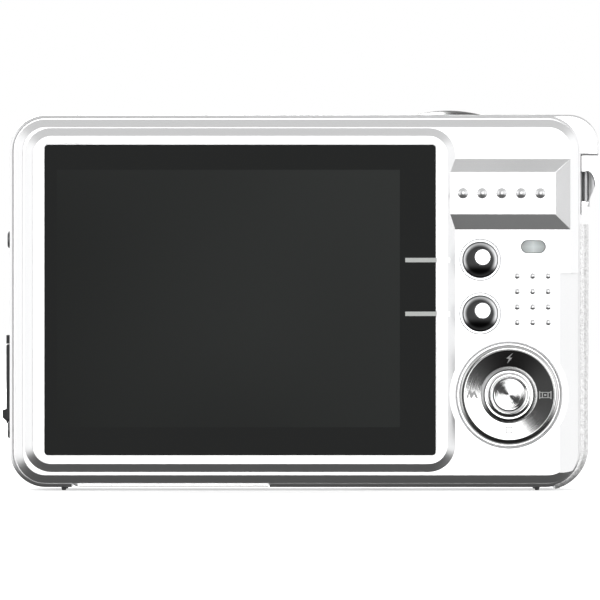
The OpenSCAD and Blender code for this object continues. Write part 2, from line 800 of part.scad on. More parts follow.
module battery() color([0.25, 0.26, 0.3]) difference() {
    along_z(battery_z, battery_z + battery_l)
        round_rect(battery_x - battery_w / 2, battery_x + battery_w / 2, battery_y, battery_y + battery_t, 1.4);
    for (i = [0:2]) block(battery_x - 9 + 5 * i, battery_x - 6 + 5 * i, battery_y + 1.5, battery_y + 4.3,
        battery_z + battery_l - 0.3, battery_z + battery_l + 1);
}

module battery_contacts() color([0.85, 0.7, 0.35])
    for (i = [0:2]) block(battery_x - 8.4 + 5 * i, battery_x - 6.6 + 5 * i, battery_y + 2.2, battery_y + 3.6,
        battery_z + battery_l - 0.25, bay_top - bay_wall);

latch_x = bay_slot_r - 6;
latch_travel = 1.6;
latch_t = 0.9;

module battery_latch() color([0.95, 0.55, 0.1]) union() {
    block(latch_x - 2.8, latch_x + 2.8, battery_y + battery_t - 1.2, bay_front_y + 0.8,
        battery_z - latch_t - fit, battery_z - fit);
    block(latch_x - 0.9, latch_x + 0.9, bay_front_y + 0.25, bay_front_y + 0.8, battery_z - latch_t, bay_bot + 6);
}

module battery_door() color(silver) difference() {
    union() {
        block(hinge_x, door_r, part_y + 0.05, door_front, door_z, door_z + door_t);
        difference() {
            rod_y(part_y + 0.05, door_front, hinge_x, hinge_z, knuckle_r);
            for (y = [part_y + 4, door_front - 5]) block(door_l - 1, hinge_x + 1.6, y, y + 1.6, hinge_z - 2, hinge_z + 2);
        }
        block(door_l + 4, latch_x - 6, battery_y + 1, battery_y + 3, door_z + door_t - 0.1, battery_z - 0.5);
        rod_z(0, door_z + 0.3, notch_x + 3.3, part_y + 1.3, foot_r - 0.1);
    }
    rod_y(part_y - 1, door_front + 1, hinge_x, hinge_z, door_pin_r + 0.05);
    along_z(door_z - 1, door_z + 0.45) obround(notch_x + 1.5, -1.5, door_latch_w + 2 * door_latch_travel, 4);
    block(notch_x - 1, door_r + 1, -2.6, -0.4, door_z + 0.35, door_z + door_t + 1);
    translate([notch_x, part_y - 1.4, door_z - 1.2]) sphere(2.3);
}

module door_hinge_pin() color(steel) {
    rod_y(part_y + 0.3, door_front - 0.2, hinge_x, hinge_z, door_pin_r);
    for (y = [part_y + 4, door_front - 5])
        block(hinge_x - 0.3, hinge_x + 0.3, y + 0.2, y + 1.4, hinge_z + 0.2, bay_bot);
}

module door_latch() color(rubber) union() {
    along_z(door_z + 0.05, door_z + 0.4) obround(notch_x + 2.5, -1.5, door_latch_w, 3.6);
    block(notch_x + 1, door_r - 0.15, -2.3, -0.7, door_z + 0.4, door_z + 1.3);
    for (i = [-2:2]) block(notch_x + 2.3 + 0.8 * i, notch_x + 2.7 + 0.8 * i, -2.7, -0.3, door_z, door_z + 0.1);
}

module memory_card() color([0.12, 0.16, 0.3]) along_y(card_y, card_y + card_t) {
    x0 = card_x - card_w / 2;
    polygon([[x0, card_z], [x0 + card_w, card_z], [x0 + card_w, card_z + card_l - 3.5],
        [x0 + card_w - 3.5, card_z + card_l], [x0, card_z + card_l]]);
}

module card_contacts() color([0.85, 0.7, 0.35])
    for (i = [0:7]) block(card_x - 9 + 2.3 * i, card_x - 8.2 + 2.3 * i, card_y + 0.2, card_y + 0.7,
        card_z + card_l + card_travel + 0.15, card_z + card_l + 2.2);

// ---- lens ----

module lens_ring() color(silver) turned_y(lens_x, lens_z, concat(
    [[ring_ir - 1, front_in_y - 0.4], [ring_ir, front_in_y - 0.4], [ring_ir, front_y + seat],
        [ring_or, front_y + seat]],
    [for (i = [0:8]) [ring_or - 2.2 * (1 - cos(90 * i / 8)), front_y + 0.8 + (lens_h - 1.2) * sin(90 * i / 8)]],
    [[ring_ir + 0.3, nose_y - 0.4], [ring_ir - 0.2, nose_y - 0.9], [ring_ir - 1, nose_y - 0.9]]));

module lens_cone() color(black) turned_y(lens_x, lens_z, [
    [ring_ir - 1 - seat, front_in_y - 0.4],
    [ring_ir - 1 - seat, nose_y - 0.3],
    [ring_ir - 1.8, nose_y],
    [ring_ir - 2.6, nose_y],
    [8.2, nose_y - 1.6],
    [7.6, nose_y - 1.6],
    [7.6, nose_y - 2.1],
    [6.2, nose_y - 3.2],
    [5.2, front_in_y - 0.4]]);

module lens_cover_glass() color([0.6, 0.65, 0.75, 0.4])
    rod_y(nose_y - 2.1 + seat, nose_y - 1.3, lens_x, lens_z, 7.55);

barrel_front = front_in_y - 0.45;

module lens_barrel() color([0.14, 0.14, 0.15]) difference() {
    union() {
        rod_y(barrel_y + 1.9, barrel_front, lens_x, lens_z, barrel_r - 0.9);
        block(lens_x - barrel_r, lens_x + barrel_r, barrel_y, barrel_y + 2.6, lens_z - barrel_r, lens_z + barrel_r);
    }
    block(lens_x - 4.2, lens_x + 4.2, barrel_y - 1, filter_y + 0.75, lens_z - 3.7, lens_z + 3.7);
    rod_y(barrel_y, filter_y + 2.2, lens_x, lens_z, 3.1);
    rod_y(filter_y + 2, barrel_front + 1, lens_x, lens_z, 3.6);
    rod_y(barrel_front - 2.4, barrel_front + 1, lens_x, lens_z, 5.4);
}

// A round glass that is thicker in its middle
module element(r, y, t, bulge) {
    turned_y(lens_x, lens_z, concat([[0, y]], dome(r, y + t, bulge), [[r, y]]));
}

module front_element() color([0.6, 0.65, 0.75, 0.4]) element(5.35, barrel_front - 2.4, 1, 0.9);

module rear_element() color([0.6, 0.65, 0.75, 0.4]) element(3.55, filter_y + 2.2, 1, 0.5);

module infrared_filter() color([0.55, 0.85, 0.8, 0.6])
    block(lens_x - 3.9, lens_x + 3.9, filter_y, filter_y + 0.6, lens_z - 3.4, lens_z + 3.4);

module image_sensor() color([0.25, 0.2, 0.35])
    block(lens_x - 4, lens_x + 4, sensor_board_y + 0.6, filter_y - seat, lens_z - 3.5, lens_z + 3.5);

module sensor_board() color(board_green)
    block(lens_x - barrel_r - 0.5, lens_x + barrel_r + 0.5, sensor_board_y, sensor_board_y + 0.6 - seat,
        lens_z - barrel_r - 0.5, lens_z + barrel_r + 0.5);

// ---- flash, lamp and sound ----

module flash_window() color([0.9, 0.92, 0.95, 0.6])
    along_y(front_in_y - 0.2, front_y + 0.1)
        round_rect(flash_x - flash_w / 2, flash_x + flash_w / 2, flash_z - flash_h / 2, flash_z + flash_h / 2, 1);

module flash_reflector() color(chrome) difference() {
    block(flash_x - flash_w / 2, flash_x + flash_w / 2, reflector_y, front_in_y - 0.25,
        flash_z - flash_h / 2, flash_z + flash_h / 2);
    along_x(flash_x - flash_w / 2 + 0.6, flash_x + flash_w / 2 - 0.6) polygon([
        [front_in_y, flash_z - flash_h / 2 + 0.5],
        [reflector_y + 1.4, flash_z - 1.3],
        [reflector_y + 1.4, flash_z + 1.3],
        [front_in_y, flash_z + flash_h / 2 - 0.5]]);
    rod_x(flash_x - flash_w / 2 - 1, flash_x + flash_w / 2 + 1, reflector_y + 1.7, flash_z, 1.1);
}

module flash_tube() color([0.95, 0.95, 1, 0.5])
    rod_x(flash_x - flash_w / 2 - 0.8, flash_x + flash_w / 2 + 0.8, reflector_y + 1.7, flash_z, 1);

module flash_capacitor() color([0.15, 0.15, 0.2])
    rod_z(floor_z + 6, floor_z + 32, side_in_r - 6.2, board_y + board_t + 4.9, 4);

module timer_lamp() color([0.9, 0.35, 0.2]) union() {
    rod_y(front_in_y - 0.6, front_y + 0.05, lens_x + ring_or + 1.5, flash_z, 1.3);
    rod_y(front_in_y - 1.2, front_in_y - 0.1, lens_x + ring_or + 1.5, flash_z, 1.8);
}

module microphone() color(steel)
    rod_y(front_in_y - 1.6, front_in_y - 0.1, lens_x - ring_or - 1.5, lens_z + 14, 2);

// ---- socket on the left ----

module usb_socket() color(steel) along_x(side_in_l + 0.1, bay_l - 1.4) difference() {
    round_rect(-usb_half + 0.3, usb_half - 0.3, usb_bot + 0.7, usb_top - 0.7, 0.5);
    round_rect(-usb_half + 0.6, usb_half - 0.6, usb_bot + 1, usb_top - 1, 0.3);
}

module usb_board() color(board_green)
    block(side_in_l + 0.6, bay_l - 0.6, usb_half - 0.3, usb_half + 0.5, usb_bot - 1, usb_top + 2);

module usb_flap() color(rubber) difference() {
    union() {
        rod_y(-flap_half, flap_half, flap_x, flap_pivot_z, flap_r);
        block(flap_x - flap_r, flap_x + flap_r, -flap_half, flap_half, flap_bot, flap_pivot_z);
        along_y(-flap_half + 0.8, flap_half - 0.8) polygon([
            [flap_x, flap_bot], [shell_l - tab_out, flap_bot + 0.9],
            [shell_l - tab_out, flap_bot + 2.1], [flap_x, flap_bot + 2.4]]);
        along_x(flap_x, shell_l + 1)
            round_rect(-usb_half + 0.3, usb_half - 0.3, usb_bot + 0.4, usb_top - 0.4, 0.5);
    }
    along_x(shell_l - 0.1, shell_l + 2)
        round_rect(-usb_half + 0.9, usb_half - 0.9, usb_bot + 1, usb_top - 1, 0.4);
}

module usb_flap_root() color(rubber) union() {
    block(flap_x - flap_r, shell_l - seat, -flap_half, flap_half, flap_pivot_z + flap_r + 0.1, flap_pivot_z + 1.8);
    block(shell_l - 0.2, side_in_l + 0.6, -1.2, 1.2, flap_root_z, flap_root_z + 0.8);
    block(side_in_l + seat, side_in_l + 0.6, -1.8, 1.8, flap_root_z - 0.3, flap_root_z + 1.1);
}

module tripod_insert() color(steel) difference() {
    rod_z(shell_bot, shell_bot + tripod_l + 1, tripod_x, 0, tripod_or);
    rod_z(shell_bot - 1, shell_bot + tripod_l, tripod_x, 0, tripod_r);
}

front_shell();
rear_cover();
top_plate();
strap_lug();
strap_bar();
side_grip();
screen_window();
screen_panel();
screen_backlight();
screen_flex();
menu_button();
mode_button();
four_way_ring();
four_way_gimbal();
ok_button();
status_light_pipe();
shutter_button();
shutter_cup();
shutter_spring();
power_button();
key_board();
key_switches();
top_board();
top_switches();
main_board();
board_chips();
chassis();
battery_bay();
battery();
battery_contacts();
battery_latch();
battery_door();
door_hinge_pin();
door_latch();
memory_card();
card_contacts();
lens_ring();
lens_cone();
lens_cover_glass();
lens_barrel();
front_element();
rear_element();
infrared_filter();
image_sensor();
sensor_board();
flash_window();
flash_reflector();
flash_tube();
flash_capacitor();
timer_lamp();
microphone();
speaker();
usb_socket();
usb_board();
usb_flap();
usb_flap_root();
tripod_insert();
side_screws();
bottom_screws();
feet();
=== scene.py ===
# %% [markdown]
# # A compact digital camera
# The imported CAD model is the fixed frame. Most visible pieces are modelled again round it, in metres
# and in the same place: +X to the user's right, +Y out of the lens and +Z up. Places and sizes come
# from the frame's own boxes, so a piece lands where its CAD solid is, with no fitting.

# %% Load the frame
import math

import bpy
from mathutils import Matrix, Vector


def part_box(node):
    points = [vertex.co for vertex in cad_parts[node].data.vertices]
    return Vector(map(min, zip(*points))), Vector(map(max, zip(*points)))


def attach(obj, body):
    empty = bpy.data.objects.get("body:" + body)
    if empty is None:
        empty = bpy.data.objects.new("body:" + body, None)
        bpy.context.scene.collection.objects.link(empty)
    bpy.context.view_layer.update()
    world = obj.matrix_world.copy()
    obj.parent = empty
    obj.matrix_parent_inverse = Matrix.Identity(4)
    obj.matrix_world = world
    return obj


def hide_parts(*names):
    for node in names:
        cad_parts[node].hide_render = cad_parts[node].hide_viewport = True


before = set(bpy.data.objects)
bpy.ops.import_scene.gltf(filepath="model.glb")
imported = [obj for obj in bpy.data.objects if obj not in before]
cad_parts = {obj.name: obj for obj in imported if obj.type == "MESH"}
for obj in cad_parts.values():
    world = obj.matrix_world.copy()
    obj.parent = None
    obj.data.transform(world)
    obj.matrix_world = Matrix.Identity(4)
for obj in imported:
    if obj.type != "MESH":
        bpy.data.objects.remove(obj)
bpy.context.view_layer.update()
MM = 0.001


# %% [markdown]
# ## Sizes
# A designer keeps a few master sizes and derives the rest. Here the masters are the corners of the
# CAD solids' boxes. Everything else is counted from them in millimetres.

# %% Master sizes
def low(node, axis):
    """The lowest place of a CAD node along an axis."""
    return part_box(node)[0][axis]


def high(node, axis):
    """The highest place of a CAD node along an axis."""
    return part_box(node)[1][axis]


def middle(node):
    """The middle of a CAD node's box."""
    lo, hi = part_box(node)
    return (lo + hi) / 2


X, Y, Z = 0, 1, 2
GRIP_T, COVER_H = 1.2 * MM, 2.8 * MM
shell_l, shell_bot, shell_top = low("front_shell", X), low("front_shell", Z), high("front_shell", Z)
shell_r = high("side_grip", X) - GRIP_T
ear_x = high("front_shell", X)
part_y, front_y = low("front_shell", Y), high("front_shell", Y)
back_y = part_y - COVER_H
frame_y = low("screen_window", Y) - 0.25 * MM
cover_l, cover_r = shell_l + 0.95 * MM, shell_r - 0.55 * MM
cover_bot, cover_top = shell_bot + 0.7 * MM, shell_top - 0.8 * MM
frame_l, frame_r = shell_l + 2.5 * MM, shell_l + 71.5 * MM
frame_bot, frame_top = shell_bot + 2.5 * MM, shell_top - 2.2 * MM
window_l, window_r = low("screen_window", X) - 0.6 * MM, high("screen_window", X) + 0.67 * MM
window_bot, window_top = low("screen_window", Z) - 0.75 * MM, high("screen_window", Z) + 0.78 * MM
ear_bot = high("strap_lug", Z) + 0.05 * MM
lug_bot = low("strap_lug", Z)
dial = middle("four_way_ring")
menu, mode = middle("menu_button"), middle("mode_button")
shutter, power = middle("shutter_button"), middle("power_button")
lens = middle("lens_ring")
print("shell", [round(v / MM, 2) for v in (shell_r - shell_l, shell_top - shell_bot, front_y - part_y)])

# %% [markdown]
# ## Tools for modelling by hand
# An operator acts on whatever is selected, so each helper first clears the selection, and then
# picks faces or edges by their place. The edge tests below read like the sentence one would say.


# %% Select, and move a piece's place into its mesh
def only(piece):
    """Selects one object and nothing else."""
    if bpy.context.object and bpy.context.object.mode != "OBJECT":
        bpy.ops.object.mode_set(mode="OBJECT")
    bpy.ops.object.select_all(action="DESELECT")
    piece.select_set(True)
    bpy.context.view_layer.objects.active = piece
    return piece


def settle(piece, name):
    """Names a piece and moves its place, turn and size into its mesh."""
    only(piece)
    bpy.ops.object.transform_apply(location=True, rotation=True, scale=True)
    piece.name = name
    piece.data.name = name
    return piece


def edit(piece, kind):
    """Opens a piece in edit mode with nothing selected."""
    only(piece)
    bpy.ops.object.mode_set(mode="EDIT")
    bpy.ops.mesh.select_mode(type=kind)
    bpy.ops.mesh.select_all(action="DESELECT")
    bpy.ops.object.mode_set(mode="OBJECT")


def close():
    """Leaves edit mode."""
    bpy.ops.object.mode_set(mode="OBJECT")


NEAR = 0.02 * MM


def along(axis):
    """An edge that runs along one axis."""
    return lambda a, b: abs((b - a)[axis]) > 0.999 * (b - a).length


def level(axis, place):
    """An edge with both ends at one place on an axis."""
    return lambda a, b: abs(a[axis] - place) < NEAR and abs(b[axis] - place) < NEAR


def bevel(piece, wanted, size, steps=1):
    """Bevels the wanted edges and merges what the bevel lays on one place."""
    edit(piece, "EDGE")
    verts = piece.data.vertices
    for edge in piece.data.edges:
        edge.select = wanted(*[verts[i].co for i in edge.vertices])
    bpy.ops.object.mode_set(mode="EDIT")
    bpy.ops.mesh.bevel(offset=size, segments=steps, profile=0.5, affect="EDGES")
    bpy.ops.mesh.select_all(action="SELECT")
    bpy.ops.mesh.remove_doubles(threshold=0.0005 * MM)
    close()
    return piece


def slice_off(piece, place, normal):
    """Cuts a piece by a plane, drops what lies beyond it and closes the cut."""
    only(piece)
    bpy.ops.object.mode_set(mode="EDIT")
    bpy.ops.mesh.select_all(action="SELECT")
    bpy.ops.mesh.bisect(plane_co=place, plane_no=normal.normalized(), use_fill=True,
                        clear_outer=True, threshold=0.001 * MM)
    bpy.ops.mesh.select_all(action="SELECT")
    bpy.ops.mesh.normals_make_consistent(inside=False)
    close()
    return piece


# %% Boxes and turned shapes
def box(name, x0, x1, y0, y1, z0, z1):
    """A box between two corners."""
    bpy.ops.object.select_all(action="DESELECT")
    bpy.ops.mesh.primitive_cube_add(size=1, location=((x0 + x1) / 2, (y0 + y1) / 2, (z0 + z1) / 2))
    bpy.context.object.scale = (x1 - x0, y1 - y0, z1 - z0)
    return settle(bpy.context.object, name)


def round_box(name, x0, x1, y0, y1, z0, z1, corner, axis=Y, steps=10):
    """A box with its four edges along one axis rounded."""
    return bevel(box(name, x0, x1, y0, y1, z0, z1), along(axis), corner, steps)


def turned(name, outline, centre, axis=Y, steps=96):
    """A line of (radius, height) points, drawn point by point and spun round an axis."""
    up = Vector([k == axis for k in (X, Y, Z)])
    centre = centre - up * centre[axis]
    side = Vector((0, 0, 1)) if axis == X else Vector((1, 0, 0))
    points = [centre + side * r + up * h for r, h in outline]
    bpy.ops.object.select_all(action="DESELECT")
    bpy.ops.mesh.primitive_plane_add(size=MM, location=points[0])
    piece = settle(bpy.context.object, name)
    bpy.ops.object.mode_set(mode="EDIT")
    bpy.ops.mesh.select_mode(type="VERT")
    bpy.ops.mesh.select_all(action="SELECT")
    bpy.ops.mesh.merge(type="CENTER")
    for here, there in zip(points, points[1:]):
        bpy.ops.mesh.extrude_region_move(TRANSFORM_OT_translate={"value": there - here})
    bpy.ops.mesh.select_all(action="SELECT")
    bpy.ops.mesh.spin(steps=steps, angle=2 * math.pi, center=centre, axis=up)
    bpy.ops.mesh.select_all(action="SELECT")
    bpy.ops.mesh.remove_doubles(threshold=0.001 * MM)
    bpy.ops.mesh.normals_make_consistent(inside=False)
    close()
    return piece


def arc(r0, h0, r1, h1, steps):
    """Points of a quarter round from (r0, h0) to (r1, h1)."""
    turns = [math.pi / 2 * i / steps for i in range(steps + 1)]
    return [(r0 + (r1 - r0) * math.sin(t), h1 + (h0 - h1) * math.cos(t)) for t in turns]


def dome(r, rim, rise, steps):
    """Points of a shallow cap, from its middle down to its rim."""
    big = (r * r + rise * rise) / (2 * abs(rise))
    sign = math.copysign(1, rise)
    return [(r * i / steps, rim + rise + sign * (math.sqrt(big**2 - (r * i / steps)**2) - big))
            for i in range(steps + 1)]


# %% Cut, join, copy, finish
def combine(piece, other, how):
    """Applies one boolean and removes the other piece."""
    only(piece)
    tool = piece.modifiers.new(how, "BOOLEAN")
    tool.operation = how
    tool.solver = "EXACT"
    tool.object = other
    bpy.ops.object.modifier_apply(modifier=tool.name)
    bpy.data.objects.remove(other)
    return piece


def cut(piece, *others):
    """Cuts the others out of a piece."""
    for other in others:
        combine(piece, other, "DIFFERENCE")
    return piece


def fuse(piece, *others):
    """Joins the others to a piece as one skin."""
    for other in others:
        combine(piece, other, "UNION")
    return piece


def gather(piece, *others):
    """Puts the others into a piece's object and leaves their skins apart."""
    only(piece)
    for other in others:
        other.select_set(True)
    bpy.ops.object.join()
    return piece


def copy(piece, shift, name=None):
    """A copy with its own mesh, moved."""
    only(piece)
    bpy.ops.object.duplicate()
    twin = bpy.context.object
    twin.location = shift
    return settle(twin, name or piece.name + "_copy")


SHARP = 32


def finish_edges(piece, size=0, smooth=SHARP):
    """Takes the knife edge off every sharp corner and shades the rest smooth, flat faces flat."""
    only(piece)
    if size:
        tool = piece.modifiers.new("edges", "BEVEL")
        tool.width = size
        tool.segments = 2
        tool.limit_method = "ANGLE"
        tool.angle_limit = math.radians(SHARP)
        tool.use_clamp_overlap = True
        bpy.ops.object.modifier_apply(modifier=tool.name)
    bpy.ops.object.shade_smooth_by_angle(angle=math.radians(smooth))
    tool = piece.modifiers.new("even", "WEIGHTED_NORMAL")
    tool.keep_sharp = True
    bpy.ops.object.modifier_apply(modifier=tool.name)
    return piece


def show(piece, body, finish, *nodes):
    """Gives a finished piece its finish and its body, in place of its CAD nodes."""
    piece.data.materials.clear()
    piece.data.materials.append(finish)
    for node in nodes:
        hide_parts(node)
    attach(piece, body)
    print(f"{piece.name}: {len(piece.data.polygons)} faces")


def hole(name, centre, r, y0, y1, rim, axis=Y, out=-1):
    """A cutter for a round hole with a chamfered mouth at y0 (out=-1) or y1 (out=1)."""
    if out < 0:
        line = [(0, y0 - MM), (r + rim + MM, y0 - MM), (r, y0 + rim), (r, y1), (0, y1)]
    else:
        line = [(0, y0), (r, y0), (r, y1 - rim), (r + rim + MM, y1 + MM), (0, y1 + MM)]
    return turned(name, line, centre, axis, 72)


# %% [markdown]
# ## Finishes
# A material is a small graph of nodes. To keep its sums readable, a socket is wrapped so that it
# can be added, multiplied and compared in Python, and each sum becomes a Math node. Every other
# node comes from one method. Patterns read Object coordinates in millimetres, so they have a true
# scale and stay on the piece when it moves.

# %% Sums on sockets
class Wire:
    """A node's output that can be used in a sum."""

    def __init__(self, finish, socket):
        self.finish, self.socket = finish, socket

    def math(self, operation, first, second=0):
        """A Math node on this finish's tree."""
        return self.finish.node("ShaderNodeMath", {"operation": operation}, {0: first, 1: second})

    def __add__(self, other):
        return self.math("ADD", self, other)

    def __sub__(self, other):
        return self.math("SUBTRACT", self, other)

    def __rsub__(self, other):
        return self.math("SUBTRACT", other, self)

    def __mul__(self, other):
        return self.math("MULTIPLY", self, other)

    def __pow__(self, other):
        return self.math("POWER", self, other)

    def __lt__(self, other):
        return self.math("LESS_THAN", self, other)

    def __abs__(self):
        return self.math("ABSOLUTE", self)

    __radd__, __rmul__ = __add__, __mul__


# %% A finish and its nodes
class Finish:
    """A material built round one Principled shader."""

    def __init__(self, name, **fixed):
        self.material = bpy.data.materials.new(name)
        self.material.use_nodes = True
        self.tree = self.material.node_tree
        self.shader = self.tree.nodes["Principled BSDF"]
        self.set(self.shader, {key.replace("_", " "): value for key, value in fixed.items()})

    def set(self, node, inputs):
        """Links or sets the inputs of a node."""
        for key, value in inputs.items():
            if isinstance(value, Wire):
                self.tree.links.new(value.socket, node.inputs[key])
            else:
                node.inputs[key].default_value = value

    def node(self, kind, settings=None, inputs=None, out=0):
        """A new node of any kind, and one of its outputs."""
        node = self.tree.nodes.new(kind)
        for key, value in (settings or {}).items():
            setattr(node, key, value)
        self.set(node, inputs or {})
        return Wire(self, node.outputs[out])

    def place(self, centre=Vector((0, 0, 0))):
        """Object coordinates in millimetres from a centre, as three numbers and one vector."""
        here = self.node("ShaderNodeTexCoord", out="Object")
        here = self.node("ShaderNodeVectorMath", {"operation": "SUBTRACT"}, {0: here, 1: centre})
        here = self.node("ShaderNodeVectorMath", {"operation": "SCALE"}, {0: here, "Scale": 1000})
        return [self.node("ShaderNodeSeparateXYZ", {}, {0: here}, out=k) for k in range(3)] + [here]

    def noise(self, here, scale, detail=2.0):
        """Noise of about so many waves in a millimetre."""
        return self.node("ShaderNodeTexNoise", {}, {"Vector": here, "Scale": scale, "Detail": detail})

    def mix(self, amount, first, second):
        """A colour between two colours."""
        return self.node("ShaderNodeMix", {"data_type": "RGBA"},
                         {0: amount, 6: first, 7: second}, out=2)

    def wear(self, colour, rough, height=None, depth=0.0, strength=1.0):
        """Gives the shader its varying colour, roughness and bump."""
        varied = {"Base Color": colour, "Roughness": rough}
        if height is not None:
            varied["Normal"] = self.node("ShaderNodeBump", {},
                                         {"Height": height, "Distance": depth * MM, "Strength": strength})
        self.set(self.shader, varied)
        return self.material


def grey(value, tint=(1, 1, 1)):
    """A grey of one brightness, tinted a little."""
    return tuple(value * t for t in tint) + (1,)


# %% [markdown]
# ## Silver paint
# The shell of such a camera is pressed metal with satin silver paint: tiny aluminium flakes in a
# clear binder. A nearly metallic shader with a soft gloss gives the way the bevels turn light and
# dark. Fine noise in the colour, gloss and normal stands for the flakes, and a slow noise for the
# slight haze of handling.

# %% Silver paint
def silver(name, bright, flake, rough, metallic):
    """Satin paint full of flakes, whose brightness strays by a share called flake."""
    paint = Finish(name, Metallic=metallic, Coat_Weight=0.12, Coat_Roughness=0.12)
    here = paint.place()[3]
    flakes = paint.noise(here, 9.0, 1.0)
    haze = paint.noise(here, 0.08, 3.0)
    dull, shiny = grey(bright * (1 - flake), (0.985, 0.99, 1)), grey(min(bright * (1 + flake), 0.98))
    colour = paint.mix(flakes, dull, shiny)
    return paint.wear(colour, rough + flakes * 0.1 + haze * 0.06, flakes, 0.006, 0.5)


silver_paint = silver("silver_paint", 0.88, 0.03, 0.24, 0.86)
lens_trim = silver("lens_trim", 0.8, 0.03, 0.25, 0.75)

# %% [markdown]
# ## Grained grip paint
# The pad on the right side is plastic with a sprayed grain that the fingers can feel. Two sizes of
# noise, one over the other, give the speckle, and the same noise lifts the surface.

# %% Grip paint
grain = Finish("grip_paint", Metallic=0.6)
here = grain.place()[3]
coarse, fine = grain.noise(here, 2.2, 2.0), grain.noise(here, 6.0, 1.0)
speck = (coarse * 0.6 + fine * 0.4 - 0.38) * 4.0
grip_paint = grain.wear(grain.mix(speck, grey(0.68), grey(0.97)), 0.36 + coarse * 0.15, speck, 0.03, 0.6)

# %% [markdown]
# ## Chrome and turned metal
# The buttons are plated plastic. Plating is a mirror, so what it shows is the room, and the
# finish needs only a little haze. The pieces that are turned on a lathe also carry fine grooves
# round their axis, which spread each reflection outwards. Here the grooves are a noise of the
# radius alone.

# %% Chrome
def metal(name, bright, rough, haze, tint=(0.98, 0.99, 1)):
    """Bare or plated metal with a slow cloud in its gloss."""
    plate = Finish(name, Metallic=1.0)
    here = plate.place()[3]
    cloud = plate.noise(here, 0.5, 3.0)
    colour = plate.mix(cloud, grey(bright * 0.96, tint), grey(bright, tint))
    return plate.wear(colour, rough + cloud * haze, plate.noise(here, 5.0, 1.0), 0.0015, 0.3)


TURNING_MARKS = 7.0


def lathed(name, bright, rough, centre, axis, depth):
    """Metal with fine turning marks round an axis."""
    plate = Finish(name, Metallic=1.0)
    parts = plate.place(centre)
    a, b = [parts[k] for k in (X, Y, Z) if k != axis]
    radius = (a * a + b * b) ** 0.5
    rings = plate.node("ShaderNodeTexNoise", {"noise_dimensions": "1D"},
                       {"W": radius, "Scale": TURNING_MARKS, "Detail": 2.0})
    colour = plate.mix(rings, grey(bright * 0.9), grey(bright))
    return plate.wear(colour, rough + rings * 0.06, rings, depth)


chrome = metal("chrome", 0.8, 0.05, 0.04)
steel = metal("steel", 0.5, 0.3, 0.1)
dark_steel = metal("dark_steel", 0.16, 0.35, 0.1)
shutter_metal = lathed("shutter_metal", 0.2, 0.16, shutter, Z, 0.006)
ring_metal = lathed("ring_metal", 0.72, 0.09, dial, Y, 0.003)
ok_metal = lathed("ok_metal", 0.88, 0.06, dial, Y, 0.004)

# %% [markdown]
# ## Plastics, rubber and boards
# Moulded plastic is never quite one colour or one gloss. One recipe serves them all: a base colour
# with a slow cloud, a gloss with a finer one, and a spark-eroded grain as bump. Only the numbers
# differ.

# %% Plastics
CLOUD = 0.12


def moulded(name, colour, rough):
    """Moulded plastic, rubber or lacquer of one colour and gloss."""
    plastic = Finish(name)
    here = plastic.place()[3]
    cloud, grit = plastic.noise(here, 0.4, 3.0), plastic.noise(here, 3.0, 2.0)
    dark = tuple(c * (1 - CLOUD) for c in colour) + (1,)
    light = tuple(min(c * (1 + CLOUD), 1) for c in colour) + (1,)
    return plastic.wear(plastic.mix(cloud, dark, light), rough + grit * 0.1, grit, 0.01, 0.6)


PLASTICS = {
    "black_plastic": ((0.022, 0.022, 0.025), 0.42),
    "rubber": ((0.06, 0.06, 0.063), 0.6),
    "circuit_board": ((0.02, 0.12, 0.06), 0.38),
    "gimbal": ((0.72, 0.72, 0.68), 0.4),
    "flex": ((0.55, 0.22, 0.03), 0.35),
    "battery_wrap": ((0.05, 0.055, 0.07), 0.4),
    "latch_orange": ((0.85, 0.25, 0.02), 0.4),
    "card_shell": ((0.012, 0.02, 0.07), 0.45),
    "capacitor_sleeve": ((0.012, 0.012, 0.03), 0.3),
    "sensor": ((0.06, 0.04, 0.12), 0.15),
    "lamp": ((0.6, 0.09, 0.04), 0.15),
    "mark_ink": ((0.5, 0.5, 0.5), 0.45),
    "leader_ink": ((0.62, 0.64, 0.62), 0.4),
    "speaker_cone": ((0.03, 0.03, 0.03), 0.7),
}
plastics = {name: moulded(name, *recipe) for name, recipe in PLASTICS.items()}
contacts = metal("contacts", 0.8, 0.2, 0.08, (1, 0.76, 0.33))

# %% [markdown]
# ## Glass
# The window over the screen is a clear sheet with a black border printed behind it, and the dark
# panel shows through the rest. It is drawn as a dark gloss surface whose colour steps up over the
# picture area with a painted sheen: a slow cloud that brightens towards the upper right. The lens
# and flash covers are truly clear.

# %% Window, lens and flash covers
screen_l, screen_r = window_l + 2.2 * MM, window_l + 57.1 * MM
screen_bot, screen_top = window_bot + 4.7 * MM, window_bot + 45.9 * MM
glass = Finish("window", Coat_Weight=0.0)
glass.set(glass.shader, {"IOR": 1.16})
x, y, z, here = glass.place(Vector(((screen_l + screen_r) / 2, 0, (screen_bot + screen_top) / 2)))
half_w, half_h = (screen_r - screen_l) / 2 / MM, (screen_top - screen_bot) / 2 / MM
picture = (abs(x) < half_w) * (abs(z) < half_h)
# Painted sheen: a slow cloud, brighter towards the upper right, raises the picture's colour; the same
# cloud varies the gloss.
sheen = glass.noise(here, 0.02, 1.0) + (x + z) * 0.009 - 0.1
lit = glass.mix(sheen, grey(0.008, (0.9, 1.06, 0.98)), grey(0.03, (0.95, 1.05, 1.0)))
window_glass = glass.wear(glass.mix(picture, grey(0.009, (0.92, 1.04, 1.0)), lit), 0.06 + sheen * 0.04)


def clear(name, tint, rough):
    """Clear glass or plastic with a faint tint."""
    pane = Finish(name)
    pane.set(pane.shader, {"Transmission Weight": 1.0, "IOR": 1.5})
    here = pane.place()[3]
    return pane.wear(pane.mix(pane.noise(here, 0.5), grey(0.94, tint), grey(1.0, tint)),
                     rough + pane.noise(here, 1.5) * 0.02)


